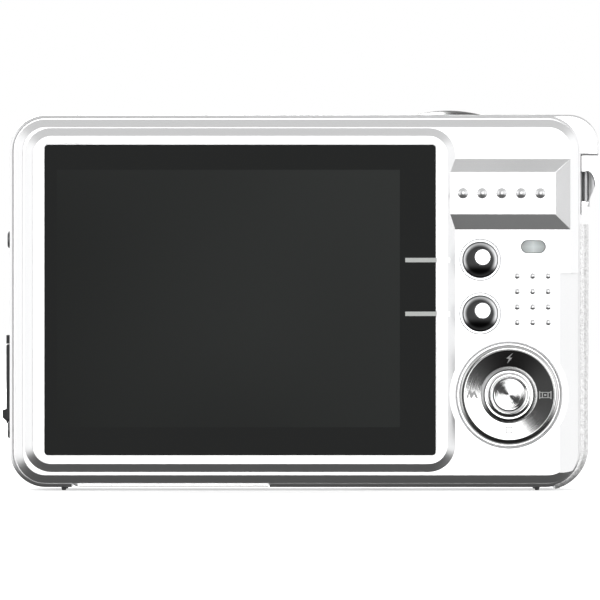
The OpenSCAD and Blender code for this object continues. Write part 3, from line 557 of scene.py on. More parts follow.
lens_glass = clear("lens_glass", (0.86, 0.9, 1.0), 0.0)
filter_glass = clear("filter_glass", (0.55, 0.95, 0.9), 0.0)
flash_cover = clear("flash_cover", (0.98, 0.98, 1.0), 0.03)
pipe = Finish("light_pipe", Coat_Weight=0.6, Subsurface_Weight=0.3)
x, y, z, here = pipe.place(middle("status_light_pipe"))
# Painted glow: the colour is brightest in the middle of the pipe and darker towards its rim.
painted_glow = 1 - abs(x) * 0.42 - abs(z) * 0.3
light_pipe = pipe.wear(pipe.mix(painted_glow, grey(0.4, (1, 0.97, 0.92)), grey(0.95, (1, 0.97, 0.9))),
                       0.18 + pipe.noise(here, 2.0) * 0.1)
print("finishes:", len(bpy.data.materials))


# %% [markdown]
# # The shell
# The front shell is a deep pressed pan with rounded corners. It could be pushed out of a sheet,
# but a rounded box is quicker: its four long edges are bevelled into the corners first, then its
# front and back rims into the soft edge, and a smaller rounded box is cut out of the middle.

# %% The pan
CORNER, WALL, EDGE, HUMP = 5.8 * MM, 1.4 * MM, 2.2 * MM, 4.8 * MM


def pan(name, grow=0):
    """The outer form of the shell, grown all round by a little when it serves as a cutter."""
    form = round_box(name, shell_l - grow, shell_r + grow, part_y - grow, front_y + grow,
                     shell_bot - grow, shell_top + grow, CORNER, Y, 14)
    bevel(form, level(Y, front_y + grow), EDGE, 6)
    return bevel(form, level(Y, part_y - grow), 0.7 * MM, 3)


shell = pan("shell")
ear_back, ear_front = part_y + 0.3 * MM, front_y - EDGE
ear = box("ear", shell_r - 8 * MM, ear_x, ear_back, ear_front, ear_bot, shell_top)
bevel(ear, lambda a, b: along(Y)(a, b) and min(a.x, b.x) > ear_x - NEAR and a.z > shell_top - NEAR,
      HUMP, 12)
bevel(ear, lambda a, b: level(Y, ear_back)(a, b) or level(Y, ear_front)(a, b), 0.35 * MM, 3)
fuse(shell, ear)
cut(shell, round_box("inside", shell_l + WALL, shell_r - WALL, part_y - MM, front_y - WALL,
                     shell_bot + WALL, shell_top - WALL, CORNER - WALL))
print("shell", len(shell.data.polygons))

# %% [markdown]
# ## Openings of the shell
# Each opening takes a cutter with a chamfered mouth, so its rim catches the light as a pressed
# edge does.

# %% Openings
door_l, door_r = low("battery_door", X), high("battery_door", X)
door_front = high("battery_door", Y)
plate_l, plate_r = low("top_plate", X), high("top_plate", X)
cup_or = (high("shutter_cup", X) - low("shutter_cup", X)) / 2
tripod = middle("tripod_insert")
flash_lo, flash_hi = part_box("flash_window")
lamp_at, mic_at = middle("timer_lamp"), middle("microphone")
cut(shell,
    box("door_hole", door_l - 0.15 * MM, door_r + 0.15 * MM, part_y - MM, door_front + 0.15 * MM,
        shell_bot - MM, shell_bot + WALL + MM),
    round_box("plate_hole", plate_l - 0.05 * MM, plate_r + 0.05 * MM, -4.55 * MM, 3.55 * MM,
              shell_top - WALL - MM, shell_top + MM, 2 * MM, Z),
    hole("cup_hole", shutter, cup_or + 0.05 * MM, shell_top - 3 * MM, shell_top, 0.15 * MM, Z, 1),
    hole("lens_hole", lens, 12.65 * MM, front_y - 3 * MM, front_y, 0.1 * MM, Y, 1),
    round_box("flash_hole", flash_lo.x - 0.05 * MM, flash_hi.x + 0.05 * MM, front_y - 3 * MM,
              front_y + MM, flash_lo.z - 0.05 * MM, flash_hi.z + 0.05 * MM, MM),
    hole("lamp_hole", lamp_at, 1.35 * MM, front_y - 3 * MM, front_y, 0.15 * MM, Y, 1),
    hole("mic_hole", mic_at, 0.5 * MM, front_y - 3 * MM, front_y, 0.1 * MM, Y, 1),
    round_box("port_hole", shell_l - MM, shell_l + WALL + MM, -2.2 * MM, 2.2 * MM,
              shell_bot + 11.6 * MM, shell_bot + 21.3 * MM, 0.6 * MM, X),
    box("root_hole", shell_l - MM, shell_l + WALL + MM, -1.25 * MM, 1.25 * MM,
        shell_bot + 23.35 * MM, shell_bot + 24.25 * MM),
    hole("tripod_hole", tripod, 4.55 * MM, shell_bot - MM, shell_bot + 3 * MM, 0.1 * MM, Z))
for at_x in (shell_l + CORNER + 1.5 * MM, tripod.x + 14 * MM):
    cut(shell, hole("screw_hole", Vector((at_x, 2 * MM, 0)), 1.45 * MM, shell_bot,
                    shell_bot + 3 * MM, 0.1 * MM, Z))
for at_z in (shell_bot + 9.2 * MM, shell_bot + 39.8 * MM):
    cut(shell, round_box("screw_hole", shell_l - MM, shell_l + 3 * MM, part_y + 1.85 * MM,
                         part_y + 3.75 * MM, at_z - 0.95 * MM, at_z + 0.95 * MM, 0.94 * MM, X))
finish_edges(shell, 0.05 * MM)
show(shell, "camera", silver_paint, "front_shell")

# %% [markdown]
# # The rear cover
# The cover is a shallow lid with a flat bevel all round, wider down the side next to the grip. It
# carries the raised screen frame and the thumb pad. Lid, frame and pad are made apart, each with
# its own bevel as on the real mould, and then fused before the holes go through. Round the
# four-way ring the wide bevel and the frame's bevel give way to a round flat land.

# %% The lid and its wide bevel
lid = round_box("rear_cover_skin", cover_l, cover_r, back_y, part_y - 0.02 * MM, cover_bot, cover_top,
                4.9 * MM, Y, 12)
bevel(lid, level(Y, back_y), 1.25 * MM)
bevel(lid, level(Y, back_y), 0.12 * MM, 2)
WIDE, WIDE_TOP = 3.1 * MM, shell_bot + 34.4 * MM
wedge = box("wedge", cover_r - WIDE, cover_r + MM, back_y - MM, back_y + 2.4 * MM,
            shell_bot - MM, WIDE_TOP)
slice_off(wedge, (cover_r - WIDE, back_y, 0), Vector((-1.8, 3.1, 0)))
LAND_R = 9.5 * MM
cut(lid, cut(wedge, hole("land", dial, LAND_R, back_y - 2 * MM, part_y, 0)))

# %% The frame round the screen, bevelled at 45 degrees and then squashed to its height
FRAME_BEVEL = 1.28 * MM
SQUASH = (back_y - frame_y) / FRAME_BEVEL
raised = round_box("frame", frame_l, frame_r, frame_y / SQUASH, (back_y + 0.3 * MM) / SQUASH,
                   frame_bot, frame_top, 4.3 * MM, Y, 12)
bevel(raised, level(Y, frame_y / SQUASH), FRAME_BEVEL)
raised.scale = (1, SQUASH, 1)
settle(raised, "frame")
bevel(raised, level(Y, frame_y), 0.12 * MM, 2)

# %% The thumb pad, a box whose face is drawn in to a smaller one
PAD_H = 0.77 * MM
pad_top, pad_bot = shell_top - 7.1 * MM, shell_top - 18.5 * MM
pad_r = cover_r - 1.25 * MM
pad = box("pad", frame_r - 1.5 * MM, pad_r, back_y - PAD_H, back_y + 0.3 * MM, pad_bot, pad_top)
slice_off(pad, (0, back_y, pad_top), Vector((0, -2.2, 0.77)))
slice_off(pad, (0, back_y, pad_bot), Vector((0, -2.5, -0.77)))
slice_off(pad, (pad_r, back_y, 0), Vector((0.77, -2.5, 0)))
bevel(pad, lambda a, b: True, 0.07 * MM, 2)

# %% Studs on the pad and dots over the speaker, one dome copied
stud_at = Vector((menu.x - 2.8 * MM, 0, (pad_top + pad_bot) / 2 + 0.15 * MM))


def studs(r, rise, base, first, across, down, pitch):
    """Rows of small domes, the first one turned and the rest copied from it."""
    line = dome(r, base, -rise, 6) + [(r, base + 0.35 * MM), (0, base + 0.35 * MM)]
    one = turned("stud", line, first, Y, 32)
    return [one] + [copy(one, (i * pitch, 0, -k * pitch))
                    for i in range(across) for k in range(down) if i or k]


knobs = studs(0.85 * MM, 0.5 * MM, back_y - PAD_H, stud_at, 5, 1, 3.1 * MM)
dots = studs(0.46 * MM, 0.2 * MM, back_y, Vector((shell_r - 10.4 * MM, 0, dial.z + 19.05 * MM)),
             3, 4, 2.48 * MM)

# %% Fuse, hollow and pierce
fuse(lid, raised, pad)
cut(lid, hole("dish", dial, LAND_R, frame_y - MM, back_y - 0.01 * MM, 0))
cut(lid, round_box("hollow", cover_l + WALL, cover_r - 2 * MM, back_y + WALL, part_y + MM,
                   cover_bot + WALL, cover_top - WALL, 3 * MM))
cut(lid, round_box("window_hole", window_l, window_r, frame_y - MM, low("screen_window", Y) + 0.8 * MM,
                   window_bot, window_top, 0.8 * MM))
cut(lid, box("screen_hole", screen_l - 0.7 * MM, screen_r + 0.7 * MM, frame_y, part_y,
             screen_bot - 0.7 * MM, screen_top + 0.7 * MM))
for key in (menu, mode):
    cut(lid, hole("key_hole", key, 3.2 * MM, back_y, part_y, 0.18 * MM),
        box("groove", window_r - MM, frame_r + MM, frame_y - MM, frame_y + 0.35 * MM,
            key.z - 0.42 * MM, key.z + 0.3 * MM))
cut(lid, hole("dial_hole", dial, 8.25 * MM, back_y, part_y, 0.35 * MM))
light = middle("status_light_pipe")
cut(lid, round_box("light_hole", light.x - 2 * MM, light.x + 2 * MM, back_y - MM, part_y,
                   light.z - 1.05 * MM, light.z + 1.05 * MM, 1.04 * MM))
finish_edges(lid, 0.04 * MM, smooth=14)
domes = finish_edges(gather(knobs[0], *knobs[1:], *dots))
gather(lid, domes)
show(lid, "camera", silver_paint, "rear_cover")

# %% [markdown]
# ## Window
# The window is a sheet with a softened rim, set a hair below the frame. The two printed bars that
# lead to the menu and mode buttons are separate slips of ink on it.

# %% Window and printed bars
pane_y = low("screen_window", Y)
pane = round_box("window_pane", window_l + 0.2 * MM, window_r - 0.2 * MM, pane_y, pane_y + 0.8 * MM,
                 window_bot + 0.2 * MM, window_top - 0.2 * MM, 0.6 * MM)
bevel(pane, level(Y, pane_y), 0.15 * MM, 2)
finish_edges(pane)
show(pane, "camera", window_glass, "screen_window")
for name, key in (("menu_bar", menu), ("mode_bar", mode)):
    bar = box(name, window_r - 5.1 * MM, window_r - 0.1 * MM, pane_y - 0.03 * MM, pane_y + 0.01 * MM,
              key.z - 0.4 * MM, key.z + 0.3 * MM)
    bevel(bar, along(Y), 0.03 * MM, 2)
    show(bar, "camera", plastics["leader_ink"])

# %% [markdown]
# # The strap ear's lug
# Under the ear hangs a lug with a slot for the strap. It is a box with its outer corner sliced
# away. A soft dip leads into the slot, which is cut through to a round bar.

# %% Lug
lug = box("lug", shell_r + 0.05 * MM, ear_x, ear_back, ear_front, lug_bot, ear_bot - 0.05 * MM)
knee = ear_bot - 3.4 * MM
slope = Vector((knee - lug_bot, 0, -(ear_x - shell_r - 0.4 * MM)))
slice_off(lug, (ear_x, 0, knee), slope)
slot = round_box("slot", shell_r - MM, shell_r + 1.3 * MM, part_y - MM, 1.5 * MM,
                 ear_bot - 7.4 * MM, ear_bot - 2.6 * MM, 0.5 * MM)
bpy.ops.mesh.primitive_uv_sphere_add(segments=48, ring_count=24, radius=1,
                                     location=(shell_r + 0.95 * MM, ear_back, ear_bot - 5 * MM))
bpy.context.object.scale = (1.3 * MM, 0.75 * MM, 2.5 * MM)
cut(lug, settle(bpy.context.object, "scoop"), slot)
finish_edges(lug, 0.1 * MM)
show(lug, "camera", silver_paint, "strap_lug")

# %% [markdown]
# # The side grip
# The grip is one moulding: a thin sleeve over the shell's right side and a rounded pad on the
# front. Both are rounded boxes, and the shell's own form is cut out of them so that they fit it.

# %% Grip
GRIP_END = shell_r - 4.2 * MM
grip_top = lug_bot - 1.2 * MM
sleeve = round_box("grip", shell_l, shell_r + GRIP_T, part_y + 0.2 * MM, front_y - EDGE + 0.4 * MM,
                   0, grip_top + CORNER, CORNER + GRIP_T, Y, 14)
bevel(sleeve, level(Y, part_y + 0.2 * MM), 0.9 * MM, 5)
slice_off(sleeve, (GRIP_END, 0, 0), Vector((-1, 0, 0)))
slice_off(sleeve, (0, 0, grip_top - 0.4 * MM), Vector((0, 0, 1)))
front_pad = round_box("grip_pad", shell_r - 13 * MM, shell_r + GRIP_T, front_y - EDGE,
                      front_y + 1.9 * MM, shell_bot + 3 * MM, grip_top, 4 * MM)
bevel(front_pad, level(Y, front_y + 1.9 * MM), 1.7 * MM, 5)
fuse(sleeve, front_pad)
cut(sleeve, pan("shell_cutter", 0.02 * MM))
finish_edges(sleeve, 0.12 * MM)
show(sleeve, "camera", grip_paint, "side_grip")

# %% [markdown]
# # The top
# A plate with a boat-shaped scoop carries the power button, and a chromed cup holds the shutter
# button. The shutter's dome is turned on a lathe.

# %% Top plate and power button
MID_Y = -0.5 * MM
plate = round_box("top_insert", plate_l + 0.8 * MM, plate_r, MID_Y - 4 * MM, MID_Y + 4 * MM,
                  shell_top - 1.9 * MM, shell_top, 2 * MM, Z)
bevel(plate, level(Z, shell_top), 0.08 * MM, 2)
scoop = round_box("scoop", power.x - 5 * MM, power.x + 5 * MM, MID_Y - 2.7 * MM, MID_Y + 2.7 * MM,
                  shell_top - 0.4 * MM, shell_top + MM, 2.69 * MM, Z)
bevel(scoop, level(Z, shell_top - 0.4 * MM), 0.3 * MM, 3)
well = round_box("well", power.x - 3.65 * MM, power.x + 3.65 * MM, MID_Y - 1.75 * MM, MID_Y + 1.75 * MM,
                 shell_top - 3 * MM, shell_top, 1.74 * MM, Z)
finish_edges(cut(plate, scoop, well), 0.05 * MM)
show(plate, "camera", silver_paint, "top_plate")
cap = round_box("power_cap", power.x - 3.4 * MM, power.x + 3.4 * MM, MID_Y - 1.5 * MM, MID_Y + 1.5 * MM,
                shell_top - 3.1 * MM, shell_top, 1.49 * MM, Z)
bevel(cap, level(Z, shell_top), 0.25 * MM, 3)
finish_edges(cap)
show(cap, "power", chrome, "power_button")

# %% Shutter button and its cup
SHUTTER_R, CUP_R = 5.9 * MM, 6.15 * MM
dome_r, dome_z = SHUTTER_R - 0.15 * MM, shell_top + 0.06 * MM
release = turned("shutter_dome", dome(dome_r, dome_z, 0.79 * MM, 14)
                 + arc(dome_r, dome_z, SHUTTER_R, shell_top - 0.12 * MM, 4)[1:]
                 + [(SHUTTER_R, shell_top - 1.2 * MM), (5 * MM, shell_top - 1.2 * MM),
                    (5 * MM, shell_top - 0.4 * MM), (1.4 * MM, shell_top - 0.4 * MM),
                    (1.4 * MM, shell_top - 4.2 * MM), (2.4 * MM, shell_top - 4.2 * MM),
                    (2.4 * MM, shell_top - 4.6 * MM), (0, shell_top - 4.6 * MM)], shutter, Z)
finish_edges(release)
show(release, "shutter", shutter_metal, "shutter_button")
rim = shell_top + 0.05 * MM
cup = turned("shutter_rim", [(cup_or, rim - 0.1 * MM), (cup_or - 0.1 * MM, rim), (CUP_R + 0.1 * MM, rim),
                             (CUP_R, rim - 0.1 * MM), (CUP_R, shell_top - 3.4 * MM),
                             (1.8 * MM, shell_top - 3.4 * MM), (1.8 * MM, shell_top - 4 * MM),
                             (cup_or, shell_top - 4 * MM), (cup_or, rim - 0.1 * MM)], shutter, Z)
finish_edges(cup)
show(cup, "camera", chrome, "shutter_cup")

# %% [markdown]
# # Buttons on the back
# The menu and mode buttons are plated domes with a short skirt and a flange that keeps them in.
# One is turned and copied for the other.

# %% Menu and mode buttons
KEY_R, key_back = 2.95 * MM, high("menu_button", Y)
rim_y = back_y - 0.1 * MM
first = turned("menu_cap", dome(KEY_R - 0.12 * MM, rim_y, -0.68 * MM, 12)
               + arc(KEY_R - 0.12 * MM, rim_y, KEY_R, rim_y + 0.12 * MM, 4)[1:]
               + [(KEY_R, key_back - 0.4 * MM), (KEY_R + 0.75 * MM, key_back - 0.4 * MM),
                  (KEY_R + 0.75 * MM, key_back), (0, key_back)], menu)
second = copy(first, (0, 0, mode.z - menu.z), "mode_cap")
for piece, body, node in ((first, "menu_key", "menu_button"), (second, "mode_key", "mode_button")):
    finish_edges(piece)
    show(piece, body, chrome, node)

# %% [markdown]
# ## The four-way ring
# The ring is a plated dish: a rounded outer shoulder, a face that falls slightly towards the
# middle, and a groove round the centre button. Because the face leans inwards, each side mirrors
# the opposite side of the room, so part of it is dark and part bright.

# %% Ring
ring_y = low("four_way_ring", Y)
flange = high("four_way_ring", Y)
RING_R, GROOVE_R, HOLE_R = 8 * MM, 4.5 * MM, 3.85 * MM
FALL, FACE_R = 0.6 * MM, 7.1 * MM
outline = ([(GROOVE_R, ring_y + FALL + 0.05 * MM), (GROOVE_R + 0.05 * MM, ring_y + FALL),
            (FACE_R, ring_y), (FACE_R + 0.08 * MM, ring_y - 0.01 * MM),
            (FACE_R + 0.2 * MM, ring_y + 0.06 * MM)]
           + arc(FACE_R + 0.3 * MM, ring_y + 0.08 * MM, RING_R, ring_y + 0.85 * MM, 8)
           + [(RING_R, flange - 0.15 * MM), (RING_R + 0.6 * MM, flange - 0.15 * MM),
              (RING_R + 0.6 * MM, flange), (5.2 * MM, flange), (5.2 * MM, ring_y + 1.3 * MM),
              (HOLE_R, ring_y + 1.3 * MM), (HOLE_R, ring_y + FALL + 0.3 * MM),
              (GROOVE_R, ring_y + FALL + 0.05 * MM)])
ring = turned("pad_ring", outline, dial)
finish_edges(ring, smooth=24)
show(ring, "four_way_pad", ring_metal, "four_way_ring")

# %% [markdown]
# ## Marks on the ring
# Small signs are printed on the ring: a bolt for the flash, hills for landscape, a film frame for
# playback and a small frame for the timer. Each is a thin slip of ink, drawn as a row of points
# that is filled and given thickness. The frames are bars, each with its two ends and two sides.


# %% Marks
MARK_R, INK_T = 5.8 * MM, 0.03 * MM
lean = FALL / (FACE_R - GROOVE_R)
mark_y = ring_y + FALL - lean * (MARK_R - GROOVE_R) - 0.005 * MM


def slip(name, points):
    """A mark on the ring's face, through points (x, z) in millimetres from the dial's centre."""
    places = [dial + Vector((a, 0, b)) * MM for a, b in points]
    for place in places:
        place.y = mark_y - lean * ((place - dial).xz.length - MARK_R)
    bpy.ops.object.select_all(action="DESELECT")
    bpy.ops.mesh.primitive_plane_add(size=MM, location=places[0])
    piece = settle(bpy.context.object, name)
    bpy.ops.object.mode_set(mode="EDIT")
    bpy.ops.mesh.select_mode(type="VERT")
    bpy.ops.mesh.select_all(action="SELECT")
    bpy.ops.mesh.merge(type="CENTER")
    for here, there in zip(places, places[1:]):
        bpy.ops.mesh.extrude_region_move(TRANSFORM_OT_translate={"value": there - here})
    bpy.ops.mesh.select_all(action="SELECT")
    bpy.ops.mesh.edge_face_add()
    bpy.ops.mesh.extrude_region_move(TRANSFORM_OT_translate={"value": (0, -INK_T, 0)})
    bpy.ops.mesh.select_all(action="SELECT")
    bpy.ops.mesh.normals_make_consistent(inside=False)
    close()
    return piece


BOLT = [(0.62, 6.75), (-0.45, 5.85), (0.0, 5.8), (-0.3, 5.05), (0.5, 5.95), (0.05, 6.0)]
HILLS = [(-6.85, -0.5), (-6.3, 1.0), (-5.9, 0.3), (-5.55, 0.75), (-4.95, -0.5), (-5.3, -0.5),
         (-5.6, 0.15), (-5.95, -0.5), (-6.15, -0.5), (-6.35, 0.3), (-6.6, -0.5)]
FILM = [(4.8, 4.98, -0.62, 0.62), (6.6, 6.78, -0.62, 0.62), (4.98, 6.6, 0.36, 0.48),
        (4.98, 6.6, -0.48, -0.36), (5.25, 5.4, -0.36, 0.36), (6.15, 6.3, -0.36, 0.36),
        (5.62, 5.95, -0.14, 0.14)]
TIMER = [(-0.5, -0.38, -6.1, -5.1), (0.38, 0.5, -6.1, -5.1), (-0.38, 0.38, -5.22, -5.1),
         (-0.38, 0.38, -6.1, -5.98)]
marks = [slip("marks", BOLT), slip("hills", HILLS)]
for name, bars in (("film", FILM), ("timer", TIMER)):
    marks += [slip(name, [(x0, z0), (x1, z0), (x1, z1), (x0, z1)]) for x0, x1, z0, z1 in bars]
gather(*marks)
show(marks[0], "four_way_pad", plastics["mark_ink"])

# %% [markdown]
# ## The centre button
# The face of the centre button is turned with grooves that can be felt. Each flank leans a little,
# so the face mirrors the room in bright and dark wedges. The grooves are a zigzag in the outline
# that is spun, because a bump would be too weak at this size.

# %% Centre button
OK_R, ok_y = 3.65 * MM, low("ok_button", Y)
ok_back = high("ok_button", Y)
GROOVE_PITCH, GROOVE_LEAN = 0.1 * MM, math.tan(math.radians(13))
GROOVES, DISH = 26, 0.28 * MM
grooves = [(GROOVE_PITCH * k, ok_y + DISH + GROOVE_PITCH * GROOVE_LEAN * (k % 2))
           for k in range(GROOVES)]
centre = turned("ok_cap", grooves + [(2.62 * MM, ok_y + 0.34 * MM), (2.78 * MM, ok_y + 0.2 * MM),
                                     (2.95 * MM, ok_y + 0.03 * MM)]
                + arc(3.05 * MM, ok_y, OK_R, ok_y + 0.45 * MM, 6)
                + [(OK_R, ok_y + 1.8 * MM), (OK_R + 0.9 * MM, ok_y + 1.8 * MM),
                   (OK_R + 0.9 * MM, ok_y + 2.2 * MM), (1.5 * MM, ok_y + 2.2 * MM), (1.5 * MM, ok_back),
                   (0, ok_back)], dial, Y, 128)
finish_edges(centre, smooth=20)
show(centre, "ok_key", ok_metal, "ok_button")

# %% Status light
pipe_lo, pipe_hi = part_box("status_light_pipe")
window = round_box("status_light", pipe_lo.x, pipe_hi.x, pipe_lo.y, pipe_hi.y, pipe_lo.z, pipe_hi.z,
                   0.99 * MM)
bevel(window, level(Y, pipe_lo.y), 0.12 * MM, 3)
finish_edges(window)
show(window, "camera", light_pipe, "status_light_pipe")

# %% [markdown]
# # Screws and feet
# The screws have cross recesses. Each head is turned once, crossed with two bars, and copied.


# %% Screws and feet
def cross(name, centre, axis, size, depth, base):
    """Two crossed bars, as a cutter for a screw's recess that opens at base."""
    bars = []
    for long, short in ((size, 0.16 * MM), (0.16 * MM, size)):
        spans = [(centre[k] - s, centre[k] + s) for k, s in
                 zip([k for k in (X, Y, Z) if k != axis], (long, short))]
        spans.insert(axis, (base - MM, base + depth))
        bars.append(box(name, *[v for span in spans for v in span]))
    return bars


HEAD_R, SHANK_R, RIM = 1.35 * MM, 0.75 * MM, 0.15 * MM


def screw(name, at, axis, flat_r, face, seat, tip, recess):
    """A screw with a flat of one radius on its face, its seat under the head, and its tip."""
    outline = [(0, face), (flat_r, face), (HEAD_R, face + RIM), (HEAD_R, seat), (SHANK_R, seat),
               (SHANK_R, tip), (0, tip)]
    return cut(turned(name, outline, at, axis, 40), *cross("bar", at, axis, 0.8 * MM, recess, face))


SIDE_SCREW_Z, SIDE_SCREW_PITCH = shell_bot + 9.2 * MM, 30.6 * MM
head = screw("side_screw_heads", Vector((0, part_y + 2.8 * MM, SIDE_SCREW_Z)), X, 1.15 * MM,
             shell_l - 0.4 * MM, shell_l - 0.05 * MM, shell_l + 3.6 * MM, 0.28 * MM)
gather(head, copy(head, (0, 0, SIDE_SCREW_PITCH)))
finish_edges(head)
show(head, "camera", dark_steel, "side_screws")
under_at = Vector((shell_l + CORNER + 1.5 * MM, 2 * MM, 0))
under = screw("bottom_screw_heads", under_at, Z, 1.2 * MM, shell_bot + 0.25 * MM, shell_bot + MM,
              shell_bot + 4.9 * MM, 0.4 * MM)
gather(under, copy(under, (tripod.x + 14 * MM - under_at.x, 0, 0)))
finish_edges(under)
show(under, "camera", steel, "bottom_screws")
pip = turned("pips", [(0, 0), (0.2 * MM, 0)] + arc(0.2 * MM, 0, 0.35 * MM, 0.15 * MM, 3)[1:]
             + [(0.6 * MM, shell_bot + 0.55 * MM), (0, shell_bot + 0.55 * MM)],
             Vector((shell_l + 8.7 * MM, part_y + 1.3 * MM, 0)), Z, 32)
steps = [(a, b) for a in (0, shell_r - 15.8 * MM - shell_l) for b in (0, front_y - part_y - 5.3 * MM)]
gather(pip, *[copy(pip, (a, b, 0)) for a, b in steps[1:]])
finish_edges(pip)
show(pip, "camera", plastics["rubber"], "feet")

# %% [markdown]
# # Flap and door
# A rubber flap with a finger tab closes the socket on the left side. The door under the battery is
# a thin plate with hinge knuckles along one end.

# %% Socket flap
FLAP_X, PIVOT_Z = shell_l - 0.375 * MM, shell_bot + 22.6 * MM
flap_bot = shell_bot + 10.2 * MM
flap = box("flap", FLAP_X - 0.325 * MM, FLAP_X + 0.325 * MM, -3.2 * MM, 3.2 * MM, flap_bot, PIVOT_Z)
bevel(flap, lambda a, b: level(Z, flap_bot)(a, b) and along(X)(a, b), 0.9 * MM, 5)
tab = box("tab", shell_l - 1.35 * MM, FLAP_X, -2.4 * MM, 2.4 * MM, flap_bot, flap_bot + 2.6 * MM)
slice_off(tab, (FLAP_X, 0, flap_bot), Vector((-0.9, 0, -0.97)))
slice_off(tab, (shell_l - 1.35 * MM, 0, flap_bot + 2.1 * MM), Vector((-0.3, 0, 0.97)))
plug = round_box("plug", FLAP_X, shell_l + MM, -1.9 * MM, 1.9 * MM, shell_bot + 12 * MM,
                 shell_bot + 20.9 * MM, 0.5 * MM, X)
roll = turned("roll", [(0, -3.2 * MM), (0.325 * MM, -3.2 * MM), (0.325 * MM, 3.2 * MM), (0, 3.2 * MM)],
              Vector((FLAP_X, 0, PIVOT_Z)), Y, 24)
fuse(flap, tab, plug, roll)
cut(flap, round_box("plug_hollow", shell_l - 0.1 * MM, shell_l + 2 * MM, -1.3 * MM, 1.3 * MM,
                    shell_bot + 12.6 * MM, shell_bot + 20.3 * MM, 0.4 * MM, X))
finish_edges(flap, 0.07 * MM)
show(flap, "socket_flap", plastics["rubber"], "usb_flap")

# %% Battery door
door_z, DOOR_T = shell_bot + 0.1 * MM, MM
HINGE = Vector((door_l + 0.9 * MM, 0, shell_bot + MM))
latch_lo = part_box("door_latch")[0]
notch_x = latch_lo.x - MM
door = box("door", HINGE.x, door_r, part_y + 0.05 * MM, door_front, door_z, door_z + DOOR_T)
bevel(door, lambda a, b: a.z < door_z + NEAR and b.z < door_z + NEAR, 0.12 * MM, 2)
knuckle = turned("knuckle", [(0, part_y + 0.05 * MM), (0.9 * MM, part_y + 0.05 * MM),
                             (0.9 * MM, door_front), (0, door_front)], HINGE, Y, 40)
for y in (part_y + 4 * MM, door_front - 5 * MM):
    cut(knuckle, box("gap", HINGE.x - 2 * MM, HINGE.x + 2 * MM, y, y + 1.6 * MM,
                     HINGE.z - 2 * MM, HINGE.z + 2 * MM))
fuse(door, knuckle)
for y in (part_y + 4 * MM, door_front - 5 * MM):
    cut(door, box("gap", HINGE.x - 2 * MM, HINGE.x + MM, y, y + 1.6 * MM,
                  HINGE.z - 2 * MM, HINGE.z + 2 * MM))
print("door", len(door.data.polygons))
cut(door, round_box("latch_slot", notch_x - 4 * MM, notch_x + 7 * MM, -3.5 * MM, 0.5 * MM,
                    door_z - MM, door_z + 0.45 * MM, 1.99 * MM, Z))
cut(door, box("latch_way", notch_x - MM, door_r + MM, -2.6 * MM, -0.4 * MM,
              door_z + 0.35 * MM, door_z + 1.2 * MM))
finish_edges(door, 0.04 * MM)
show(door, "door", silver_paint, "battery_door")

# %% [markdown]
# # Lens, flash and lamp
# The lens ring is turned like the real one, with a rounded shoulder and a stepped nose. The cone
# inside is black, with fine steps that stop stray light.

# %% Lens ring and cone
ring_or, ring_ir, nose = 16.5 * MM, 12.6 * MM, high("lens_cone", Y)
bezel = turned("lens_bezel", [(ring_ir - MM, front_y - 1.8 * MM), (ring_ir, front_y - 1.8 * MM),
                              (ring_ir, front_y + 0.05 * MM), (ring_or, front_y + 0.05 * MM),
                              (ring_or, front_y + 0.7 * MM), (ring_or - 0.12 * MM, front_y + 0.85 * MM)]
               + [(ring_or - 2.2 * MM * (1 - math.cos(t)), front_y + 0.85 * MM + 2.25 * MM * math.sin(t))
                  for t in [math.pi / 2 * k / 10 for k in range(1, 11)]]
               + [(ring_ir + 0.5 * MM, nose - 0.4 * MM), (ring_ir + 0.3 * MM, nose - 0.42 * MM),
                  (ring_ir - 0.1 * MM, nose - 0.85 * MM), (ring_ir - 0.2 * MM, nose - 0.9 * MM),
                  (ring_ir - MM, nose - 0.9 * MM), (ring_ir - MM, front_y - 1.8 * MM)], lens, Y, 120)
finish_edges(bezel)
show(bezel, "camera", lens_trim, "lens_ring")
STEPS = 8
inner = [(ring_ir - 1.05 * MM, front_y - 1.8 * MM), (ring_ir - 1.05 * MM, nose - 0.3 * MM),
         (ring_ir - 1.8 * MM, nose), (ring_ir - 2.6 * MM, nose)]
for k in range(1, STEPS + 1):
    r = ring_ir - 2.6 * MM - (ring_ir - 10.8 * MM) * k / STEPS
    y = nose - 1.6 * MM * k / STEPS
    inner += [(inner[-1][0], y), (r, y)]
inner += [(7.6 * MM, nose - 1.6 * MM), (7.6 * MM, nose - 2.1 * MM), (6.2 * MM, nose - 3.2 * MM),
          (5.2 * MM, front_y - 1.8 * MM), (ring_ir - 1.05 * MM, front_y - 1.8 * MM)]
cone = turned("lens_hood", inner, lens, Y, 120)
finish_edges(cone)
show(cone, "camera", plastics["black_plastic"], "lens_cone")

# %% [markdown]
# ## Flash window
# The flash cover is clear plastic with upright ribs on its back that spread the light. The ribs
# are one wedge bar, copied across.

# %% Flash window
cover = round_box("flash_pane", flash_lo.x, flash_hi.x, front_y - 0.9 * MM, flash_hi.y, flash_lo.z,
                  flash_hi.z, MM)
bevel(cover, level(Y, flash_hi.y), 0.15 * MM, 3)
RIBS = 16
rib_w = (flash_hi.x - flash_lo.x - 1.2 * MM) / RIBS
rib = box("rib", flash_lo.x + 0.6 * MM, flash_lo.x + 0.6 * MM + rib_w, flash_lo.y, front_y - 0.88 * MM,
          flash_lo.z + 0.6 * MM, flash_hi.z - 0.6 * MM)
bevel(rib, lambda a, b: along(Z)(a, b) and level(Y, flash_lo.y)(a, b), rib_w * 0.46, 2)
gather(cover, rib, *[copy(rib, (rib_w * k, 0, 0)) for k in range(1, RIBS)])
finish_edges(cover)
show(cover, "camera", flash_cover, "flash_window")

# %% [markdown]
# # The CAD solids that keep their own shape
# Inner parts such as boards and the battery have the right shape already. They only need a finish,
# so each is given one by name.

